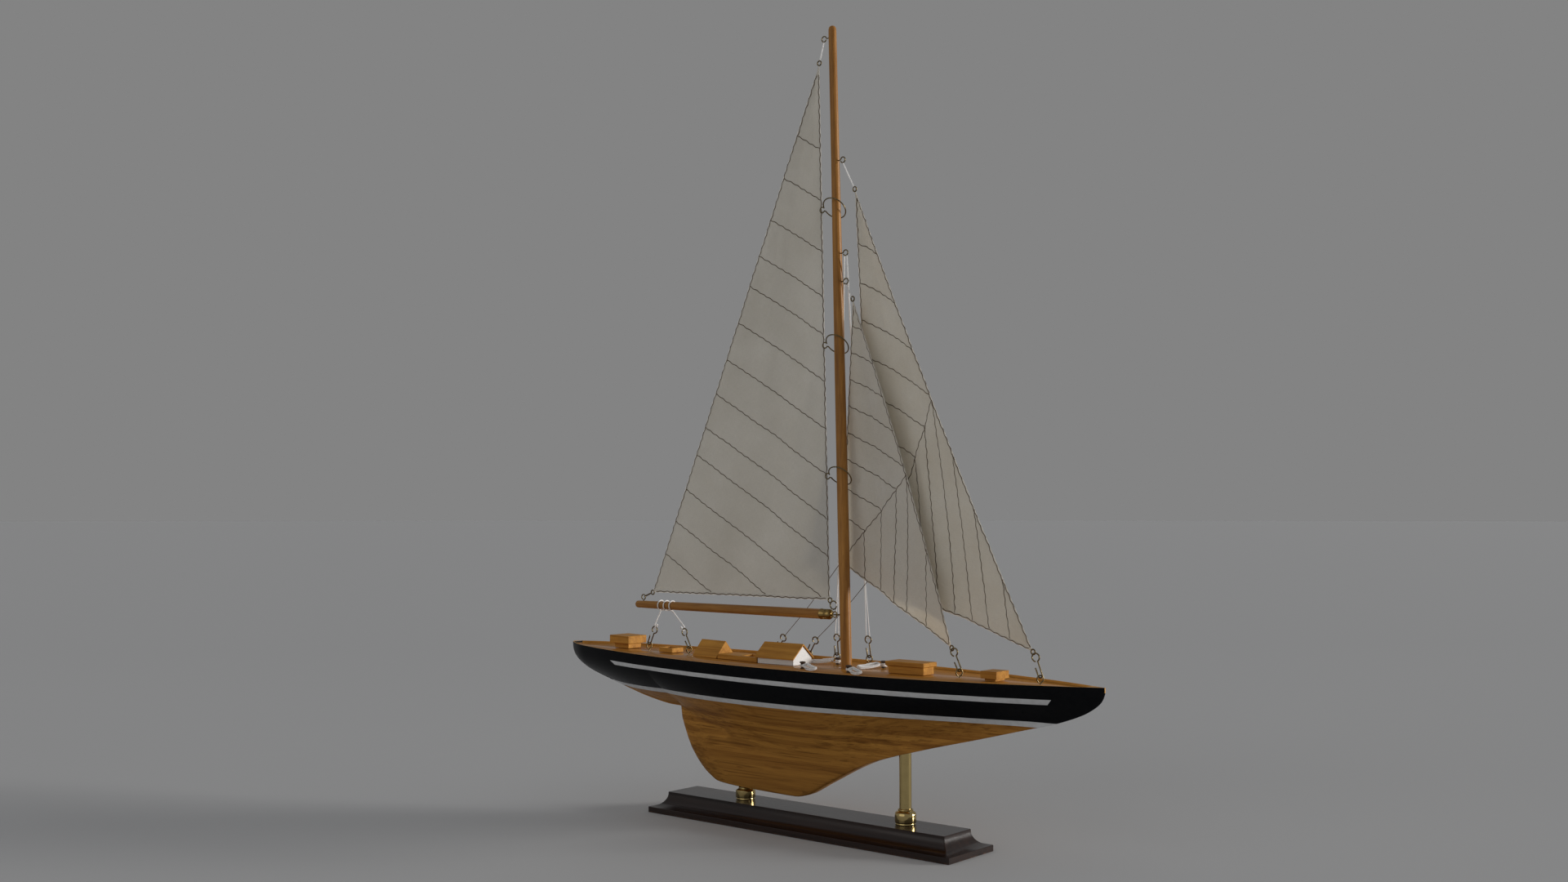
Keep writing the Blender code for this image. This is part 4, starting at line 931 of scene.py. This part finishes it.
# Sails ---------------------------------------------------------------------------------
class Sail:
    """A three-cornered sail.  Places on it are shares along the luff and along the leech, from the head."""

    def __init__(self, name, corners, body, luff_bow, belly, folds):
        self.name, self.body = name, body
        self.head, self.tack, self.clew = (Vector(c) for c in corners)
        self.luff_bow, self.belly, self.folds = luff_bow, belly, folds
        self.normal = (self.tack - self.head).cross(self.clew - self.head).normalized()
        if self.normal.y < 0:
            self.normal = -self.normal
        out = (self.tack - self.head).cross(self.normal).normalized()
        if out.dot(self.clew - self.head) > 0:
            out = -out
        self.out = out

    def flat(self, luff, leech):
        """Point in the sail's plane, with the curve of the luff."""
        down = clamp(luff + leech)
        across = luff / down if down > 0 else 0.5
        bow = self.luff_bow * 4 * down * (1 - down) * across ** 1.5
        return self.head + (self.tack - self.head) * luff + (self.clew - self.head) * leech + self.out * bow

    def proud(self, luff, leech):
        """How far the cloth stands out of its plane: a belly, soft folds that grow downwards, a flutter."""
        down = clamp(luff + leech)
        across = luff / down if down > 0 else 0.5
        hold = sin(pi * clamp(across)) ** 1.7
        rise = self.belly * hold * sin(pi * down ** 0.8) ** 0.9
        for waves, phase, height, skew in self.folds:
            rise += height * hold * down ** 1.4 * sin(tau * waves * (across + skew * down) + phase)
        spot = Vector((luff * 3.1, leech * 3.7, self.belly * 900))
        rise += 0.0011 * hold * noise.noise(spot * 1.7)
        return rise + 0.0004 * noise.noise(spot * 5.0) * min(1.0, 4 * down)

    def point(self, luff, leech):
        return self.flat(luff, leech) + self.normal * self.proud(luff, leech)

    def plane(self, luff, leech):
        """Cloth coordinates in metres, for the weave."""
        spot = self.flat(luff, leech) - self.head
        return (spot.dot(self.out), -spot.z)

    def half_thick(self, luff, leech):
        return (HEM_CLOTH if self.edge_distance(luff, leech) < HEM else CLOTH) / 2

    def edge_distance(self, luff, leech):
        """Distance to the nearest edge, for straight edges."""
        area = (self.tack - self.head).cross(self.clew - self.head).length
        return min(leech * area / (self.tack - self.head).length,
                   luff * area / (self.clew - self.head).length,
                   (1 - luff - leech) * area / (self.tack - self.clew).length)

    def mesh(self):
        width = (self.tack - self.clew).length
        depth = (self.tack - self.head).length
        rows = [0.004 + (0.986 - 0.004) * (i / 96) ** 0.97 for i in range(97)]
        foot = HEM / depth
        rows = [v for v in rows if v < 1 - foot - 0.004] + [1 - foot - 0.0006, 1 - foot, 1 - foot / 2, 1.0]
        body = 40
        grid = []
        for v in rows:
            hem = min(HEM / (width * v), 0.4)
            slope = min(0.00025 / (width * v), 0.04)
            cuts = [0.0, hem / 2, hem, hem + slope]
            cuts += [hem + slope + (1 - 2 * hem - 2 * slope) * i / body for i in range(1, body)]
            cuts += [1 - hem - slope, 1 - hem, 1 - hem / 2, 1.0]
            line = []
            for k, a in enumerate(cuts):
                in_hem = k < 3 or k > len(cuts) - 4 or v > 1 - foot - 0.0001
                on_edge = k in (0, len(cuts) - 1) or v == 1.0
                thick = EDGE if on_edge else HEM_CLOTH if in_hem else CLOTH
                line.append((a * v, (1 - a) * v, thick / 2))
            grid.append(line)
        bm = bmesh.new()
        layer = bm.loops.layers.uv.new("cloth")
        sides = []
        for sign in (1, -1):
            sides.append([[bm.verts.new(self.point(s, t) + self.normal * half * sign)
                           for s, t, half in line] for line in grid])
        last_row, last = len(grid) - 1, len(grid[0]) - 1

        def face(corners, edge=0):
            made = bm.faces.new([sides[side][i][j] for side, i, j in corners])
            made.material_index = edge
            for loop, (side, i, j) in zip(made.loops, corners):
                loop[layer].uv = self.plane(*grid[i][j][:2])

        for i in range(last_row):
            for j in range(last):
                face([(0, i, j), (0, i + 1, j), (0, i + 1, j + 1), (0, i, j + 1)])
                face([(1, i, j), (1, i, j + 1), (1, i + 1, j + 1), (1, i + 1, j)])
            face([(0, i, 0), (1, i, 0), (1, i + 1, 0), (0, i + 1, 0)], 1)
            face([(0, i, last), (0, i + 1, last), (1, i + 1, last), (1, i, last)], 1)
        for j in range(last):
            face([(0, 0, j), (0, 0, j + 1), (1, 0, j + 1), (1, 0, j)], 1)
            face([(0, last_row, j), (1, last_row, j), (1, last_row, j + 1), (0, last_row, j + 1)], 1)
        return finish_mesh(self.name + "_cloth", bm, radians(50))

    def stitching(self, seams):
        """Wandering lines of thread, standing a little proud of both faces of the cloth."""
        bm = bmesh.new()
        swing, wave = STITCH_WAVE
        for number, (start, end) in enumerate(seams):
            flat_start, flat_end = self.flat(*start), self.flat(*end)
            way = (flat_end - flat_start).normalized()
            aside = way.cross(self.normal)
            count = max(6, int((flat_end - flat_start).length / 0.0016))
            rings = []
            for i in range(count + 1):
                t = i / count
                luff, leech = (a + (b - a) * t for a, b in zip(start, end))
                run = (flat_end - flat_start).length * t
                drift = swing * sin(tau * run / wave + number * 1.9)
                drift += 0.0005 * noise.noise(Vector((run * 70, number * 3.7, 0.3)))
                centre = self.point(luff, leech) + aside * drift
                high = self.half_thick(luff, leech) + STITCH_PROUD
                rings.append([centre + aside * STITCH_HALF * side + self.normal * high * up
                              for side, up in STITCH_SECTION])
            skin_rings(bm, rings)
        return finish_mesh(self.name + "_stitching", bm, radians(70))

    def hem_seams(self):
        """The three lines that hold the hem, just inside its fold."""
        inset = HEM * 0.46
        area = (self.tack - self.head).cross(self.clew - self.head).length
        luff_in = inset * (self.tack - self.head).length / area
        leech_in = inset * (self.clew - self.head).length / area
        foot_in = inset * (self.tack - self.clew).length / area
        head_cut = 0.016
        return [((head_cut, luff_in), (1 - luff_in - foot_in - 0.004, luff_in)),
                ((leech_in, head_cut), (leech_in, 1 - leech_in - foot_in - 0.004)),
                ((0.02, 1 - 0.02 - foot_in), (1 - 0.02 - foot_in, 0.02))]


def meeting(start, way, luff, leech, total):
    """Where a line of stitching from start meets luff * l + leech * k = total."""
    rate = luff * way[0] + leech * way[1]
    t = (total - luff * start[0] - leech * start[1]) / rate
    return (start[0] + way[0] * t, start[1] + way[1] * t)


def mainsail_seams():
    """Parallel seams that fall from the leech to the luff, the lowest ones to the foot."""
    slant = 1.27
    seams = []
    for leech in MAIN_SEAMS:
        start = (SEAM_INSET, leech - SEAM_INSET / slant)
        end = (leech * slant - SEAM_INSET, SEAM_INSET)
        if leech * slant > 0.99:
            end = meeting(start, (slant, -1.0), 1, 1, SEAM_FOOT)
        seams.append((start, end))
    return seams


def mitred_seams(mitre, levels, starts, way, fall=1.0):
    """Cross seams above a mitre from the luff to the clew, and seams from it down to the foot."""
    seams = [((mitre, SEAM_INSET), (0.010, 0.985))]
    slope = -(mitre - 0.010) / 0.979
    for level in levels:
        start = (0.008, level - 0.008 * fall)
        end = meeting(start, (1, -fall), 0, 1, 0.008)
        crosses = end[0] > mitre
        if crosses:
            end = meeting(start, (1, -fall), 1, -slope, mitre)
        seams.append((start, end))
        if crosses:
            seams.append((end, meeting(end, way, 1, 1, SEAM_FOOT)))
    for luff in starts:
        start = (luff, SEAM_INSET)
        seams.append((start, meeting(start, way, 1, 1, SEAM_FOOT)))
    return seams


def sails(main_cloth, brightened_stay_cloth, jib_cloth, thread, dark):
    main = Sail("mainsail", MAINSAIL, "boom_rig", 0.0, 0.0035,
                ((1.5, 0.4, 0.0012, 0.3), (3.3, 1.1, 0.0006, -0.4)))
    stay = Sail("staysail", STAYSAIL, "staysail", 0.0045, 0.0040,
                ((2.2, 0.6, 0.0014, 0.2), (4.1, 2.0, 0.0006, 0.1)))
    jib = Sail("jib", JIB, "jib", -0.0038, 0.0045,
               ((1.8, 2.6, 0.0019, 0.3), (3.9, 0.4, 0.0007, 0.2)))
    stay_seams = mitred_seams(0.52, (0.10, 0.20, 0.30, 0.40, 0.50, 0.60, 0.71, 0.82),
                              (0.53, 0.728), (0.22, 1.0))
    jib_seams = mitred_seams(0.47, (0.139, 0.240, 0.335, 0.425, 0.520, 0.615, 0.715, 0.815, 0.915),
                             (0.475, 0.588, 0.705, 0.850), (0.16, 1.0), 0.91)
    for sail, seams, cloth in ((main, mainsail_seams(), main_cloth), (stay, stay_seams, brightened_stay_cloth),
                               (jib, jib_seams, jib_cloth)):
        canvas = piece(sail.name + "_cloth", sail.mesh(), cloth, sail.body, [sail.name])
        canvas.data.materials.append(thread)    # the cut edges, darker than the cloth
        stitches = piece(sail.name + "_stitching", sail.stitching(seams + sail.hem_seams()), thread,
                         sail.body)
        along = (sail.tack - sail.head).normalized()
        aside = along.cross(sail.normal)
        for corner, where in (("head", sail.head), ("tack", sail.tack), ("clew", sail.clew)):
            name = sail.name + "_" + corner + "_grommet"
            run = ring_points(where, along, aside, GROMMET_R)
            wire(name, run, EYE_WIRE, dark, sail.body, closed=True)


def mainsheet(rope):
    """One cord: after hook, three turns round the boom, fore hook.  Each turn moves on behind the boom."""
    wrap_r = BOOM_R_AT_TURNS + SHEET_R + 0.0001
    start, end = SHEET_TURNS_X
    pitch = (end - start) / (TURNS - 1)
    lift = Vector((0, 0, HOOK_RING_R + EYE_WIRE + CORD_R + GAP))
    aft, fore = hook_ring("mainsheet_aft") + lift, hook_ring("mainsheet_fore") + lift
    points = [aft.lerp(Vector((start, 0, BOOM_Z - wrap_r)), i / 8) for i in range(8)]
    for i in range(TURNS * TURN_POINTS + 1):
        number, share = divmod(i / TURN_POINTS, 1.0)
        a = radians(-90) + tau * share
        ease = clamp(share / TURN_SHIFT) - 1.0 if number else 0.0
        x = start + pitch * min(number + ease, TURNS - 1)
        points.append(Vector((x, wrap_r * cos(a), BOOM_Z + wrap_r * sin(a))))
    points += [Vector((end, 0, BOOM_Z - wrap_r)).lerp(fore, (i + 1) / 8) for i in range(8)]
    span = ((0, 0, 0.150), (0, 0, 0.187))
    for name, way in (("mainsheet_aft", points[1] - points[0]),
                      ("mainsheet_fore", points[-2] - points[-1])):
        hitch(name + "_hitch", hook_ring(name), way, rope, name + "_hook")
    obj = wire("mainsheet_cord", points, SHEET_R, rope, "boom_rig", ["mainsheet"], span, 12)


def hitch(name, ring, way, rope, body, radius=CORD_R * 0.9):
    """A few turns that seize a cord to the top of a hook's ring, and the loop through the ring."""
    way = way.normalized()
    aside = way.cross(Vector((0, 1, 0))).normalized()
    up = ring + way * (HOOK_RING_R + EYE_WIRE)
    loop = ring_points(ring + way * (HOOK_RING_R - 0.0001), way, (0, 1, 0), 0.0013, 20)
    turns = []
    for i in range(34):
        a = tau * i / 12
        round_way = aside * cos(a) + Vector((0, 1, 0)) * sin(a)
        turns.append(up + way * (0.0007 + 0.00075 * i / 12) + round_way * 0.0008)
    bm = bmesh.new()
    sweep(bm, loop, radius, 8, closed=True)
    sweep(bm, turns, radius * 0.75, 8)
    return piece(name, finish_mesh(name, bm, radians(60)), rope, body)


def shrouds(rope):
    """Two doubled cords from the shroud eye, each down through a hook's ring and back."""
    x, z = SPAR_EYES["shroud_eye"][:2]
    radius, steps = STRAND_R, 40
    for name, shift in (("aft", -1), ("fore", 1)):
        ring = hook_ring("shroud_" + name)
        top = Vector((x + 0.0012 * shift, 0, z - SPAR_EYE_R))
        way = (top - ring).normalized()
        aside = way.cross(Vector((0, 1, 0))).normalized()
        foot = ring + way * (HOOK_RING_R - EYE_WIRE - radius)

        def strand(share, which):
            spread = STRAND_GAP * clamp(1 - share / 0.15) ** 1.2 + radius + 0.00002
            return foot.lerp(top, share) + aside * spread * which

        up = [strand(i / steps, 1) for i in range(steps + 1)]
        down = [strand(1 - i / steps, -1) for i in range(steps + 1)]
        bow = [top + way * radius]
        bight = [foot - aside * (STRAND_GAP + radius) * cos(pi * i / 8) - way * 0.0011 * sin(pi * i / 8)
                 for i in range(1, 8)]
        run = up + bow + down + bight
        stands_for = ["shroud_line"] if name == "aft" else ()
        obj = wire("shroud_cord_" + name, run, radius, rope, replaces=stands_for)


def headsail_sheet(name, hook, clew, body, thread):
    clew = Vector(clew)
    ring = hook_ring(hook)
    along = (clew - ring).normalized()
    start = ring + along * (HOOK_RING_R + EYE_WIRE + THREAD_R)
    end = clew - along * (GROMMET_R + EYE_WIRE + THREAD_R)
    slack = Vector((0, 0, -0.0015))
    run = smooth_run([start, start.lerp(end, 0.33) + slack, start.lerp(end, 0.67) + slack, end], 12)
    bow = ring_points(ring + along * (HOOK_RING_R + 0.0001), along, (0, 1, 0), 0.0010, 16)
    knot = wire(name + "_bowline", bow, THREAD_R, thread, sides=8, closed=True)
    obj = wire(name + "_cord", run, THREAD_R, thread, body, [name], (start, end), 8)


def lashing(name, low, high, radius, legs, loops, rope, body):
    """Loops of cord between two rings, whose legs stand apart sideways, each loop beside the last."""
    low, high = Vector(low), Vector(high)
    way = (high - low).normalized()
    aside = way.cross(Vector((0, 1, 0))).normalized()
    across = aside.cross(way)
    run = []
    steps = loops * 20
    for i in range(steps + 1):
        a = tau * loops * i / steps
        share = 0.5 - 0.5 * cos(a)
        share = share * share * (3 - 2 * share)
        drift = (i / steps - 0.5) * loops * 2.1 * radius
        run.append(low.lerp(high, share) + across * legs * sin(a) + aside * drift)
    obj = wire(name, run, radius, rope, body, sides=8)


def lashings(rope, thread):
    main_head, stay_head, jib_head = Vector(MAINSAIL[0]), Vector(STAYSAIL[0]), Vector(JIB[0])

    def eye_bottom(name):
        x, z = SPAR_EYES[name][:2]
        return Vector((x, 0, z - SPAR_EYE_R))

    for name, head, eye, body in (("mainsail_head_lashing", main_head, "masthead_eye", "boom_rig"),
                                  ("staysail_head_lashing", stay_head, "staysail_halyard_eye", "root"),
                                  ("jib_head_lashing", jib_head, "jib_halyard_eye", "root")):
        top = eye_bottom(eye)
        way = (top - head).normalized()
        lashing(name, head + way * (GROMMET_R - 0.0008), top + way * 0.0008, THREAD_R,
                THREAD_R * 1.02, 1, rope, body)
    clew, eye = Vector(MAINSAIL[2]), Vector(BOOM_EYE)
    way = (eye - clew).normalized()
    lashing("mainsail_clew_lashing", clew + way * (GROMMET_R - 0.0005), eye - way * (SPAR_EYE_R - 0.0005),
            THREAD_R, CLEW_LEGS, 2, thread, "boom_rig")


def tack_link(dark):
    """Open ring that links the mainsail's tack to the gooseneck."""
    centre = Vector((0.0355, 0.0, 0.1994))
    run = circle((centre.x, centre.z), 0.0036, radians(35), radians(310), 30)
    wire("tack_link_ring", run, EYE_WIRE, dark, "boom_rig")


def on_deck(x, y=0.0):
    slope = atan(DECK_RISE) if x < DECK_KNEE_X else 0.0
    return Matrix.Translation((x, y, deck_z(x) + GAP)) @ Matrix.Rotation(slope, 4, "Y")


def hank_run(number, lean):
    """Turns round the neck of a post, then long turns beside it, first inwards, then outwards on top.

    The hank hangs from the post at one end and leans up on one side.
    """
    length, width = HANK_SIZE
    run = []
    for i in range(29):
        a = tau * i / 12
        run.append(Vector((0.0021 * cos(a), 0.0021 * sin(a), 0.0037 - 0.00100 * i / 12)))
    near, far = 0.0074, 0.0024 + length - 0.0042
    middle = (near + far) / 2
    for i in range(HANK_LAPS * HANK_POINTS + 1):
        lap = i / HANK_POINTS
        inward = min(lap, HANK_LAPS - lap)
        a = tau * lap - radians(90)
        wobble = 0.00012 * noise.noise(Vector((lap * 3.0, number * 5.1, 0.2)))
        half = width / 2 - 0.0006 - 0.00112 * inward + wobble
        end = far if cos(a) > 0 else near
        x = middle + (end - middle) * clamp(abs(cos(a)) * 2.5) + half * cos(a)
        y = half * sin(a)
        on_top = 0.00100 * clamp((lap - HANK_LAPS / 2) / 0.25 + 0.5)
        hung = 0.0020 * clamp(1 - (x - 0.0030) / 0.016) ** 1.5
        leaning = 0.0022 * clamp(0.5 + lean * y / width) ** 1.3
        run.append(Vector((x, y, HANK_ROPE_R + on_top + hung + leaning)))
    return smooth_run(run, 3)


def bollards(wood, rope):
    pin = -DECK_THICK + 0.0006
    profile = [(0.0, BOLLARD_H), (0.0018, BOLLARD_H - 0.0001), (0.0025, BOLLARD_H - 0.0004),
               (0.0028, BOLLARD_H - 0.0009), (0.0025, BOLLARD_H - 0.0015), (0.0018, BOLLARD_H - 0.0020),
               (0.0014, BOLLARD_H - 0.0025), (0.0014, 0.0012), (0.0018, 0.0004), (0.0024, 0.0),
               (0.0011, 0.0), (0.0011, pin), (0.0, pin)]
    for number, (name, (x, y, heading)) in enumerate(BOLLARDS.items()):
        turned("post_" + name, profile, 32, on_deck(x, y), wood,
               replaces=["bollard_" + name])
        place = on_deck(x, y) @ Matrix.Rotation(radians(heading), 4, "Z")
        run = [place @ p for p in hank_run(number, -1 if y > 0 else 1)]
        obj = wire("rope_" + name, run, HANK_ROPE_R, rope, replaces=["hank_" + name], sides=8)


# Assembly ------------------------------------------------------------------------------
def dress(names, mat):
    """Give carried-over CAD nodes their finish."""
    for name in names:
        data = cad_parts[name].data
        data.materials.clear()
        data.materials.append(mat)


def build():
    bpy.context.scene.view_settings.view_transform = "Standard"
    camera()
    surroundings()
    for name, facts in SUNS.items():
        sun(name, *facts)
    floor()

    brass = metal_look("polished_brass_finish", (0.60, 0.46, 0.20), (0.42, 0.31, 0.13), 0.07, tarnish=0.35)
    dark = metal_look("antique_brass_finish", (0.25, 0.19, 0.095), (0.060, 0.046, 0.026), 0.22, 900.0, 0.9)
    cap_brass = metal_look("boom_cap_finish", (0.36, 0.240, 0.085), (0.17, 0.108, 0.040), 0.14, 400.0, 0.6)
    mast_wood = wood_look("mast_finish", (0.540, 0.255, 0.062), (0.250, 0.105, 0.026), 0.30, 0.16, 2, 1.2)
    boom_wood = wood_look("boom_finish", (0.540, 0.262, 0.068), (0.280, 0.122, 0.032), 0.36, 0.14, 0, 1.2)
    # painted light: the rail's wood is drawn lighter than the hull's, standing in for light on its inner
    # face and top
    brightened_rail_wood = wood_look("rail_finish_brightened", (0.820, 0.440, 0.105), (0.600, 0.290, 0.062), 0.30, 0.06)
    deck_wood = wood_look("deck_finish", (0.640, 0.290, 0.058), (0.420, 0.180, 0.036), 0.13, 0.05,
                          relief=0.08)
    pine = wood_look("pine_finish", (0.700, 0.350, 0.070), (0.400, 0.172, 0.034), 0.40, 0.06, contrast=1.25)
    post_wood = wood_look("bollard_finish", (0.115, 0.075, 0.050), (0.050, 0.032, 0.022), 0.45, 0.3, 2)
    rope = cord_look("white_cord_finish", (0.95, 0.95, 0.94), (0.82, 0.81, 0.79), 0.8)
    thread = cord_look("thread_finish", (0.190, 0.130, 0.075), (0.100, 0.066, 0.038))
    main_cloth = canvas_look("mainsail_canvas", (0.630, 0.612, 0.570), (0.560, 0.540, 0.492))
    jib_cloth = canvas_look("jib_canvas", (0.640, 0.618, 0.568), (0.580, 0.545, 0.480))
    # painted light: the staysail's cloth is drawn lighter than the other sails', to make up for the jib's
    # shadow on it; it is also a little warmer
    brightened_stay_cloth = canvas_look("staysail_canvas_brightened", (0.770, 0.720, 0.635), (0.690, 0.630, 0.535))

    mainsheet(rope)
    shrouds(rope)
    headsail_sheet("staysail_sheet", "staysail_sheet", STAYSAIL[2], "staysail", thread)
    headsail_sheet("jib_sheet", "jib_sheet", JIB[2], "jib", thread)
    lashings(rope, thread)
    bollards(post_wood, rope)

    hull = hull_mesh()
    piece("hull_skin", hull, painted_hull(), replaces=["hull"])
    hull.materials.append(brightened_rail_wood)
    paint_inside(hull)
    piece("deck_board", deck_mesh(), deck_wood, replaces=["deck"])
    stand(stained_plinth(), brass)
    spars(mast_wood, cap_brass, boom_wood)
    wire_fittings(dark)
    mast_hoops(dark)
    tack_link(dark)
    sails(main_cloth, brightened_stay_cloth, jib_cloth, thread, dark)
    dress(["aft_locker", "aft_locker_lid", "aft_coaming", "skylight", "cockpit_coaming", "cabin_roof",
           "fore_deckhouse", "fore_deckhouse_lid", "fore_hatch"], pine)
    dress(["cabin_walls"], white_paint())


build()
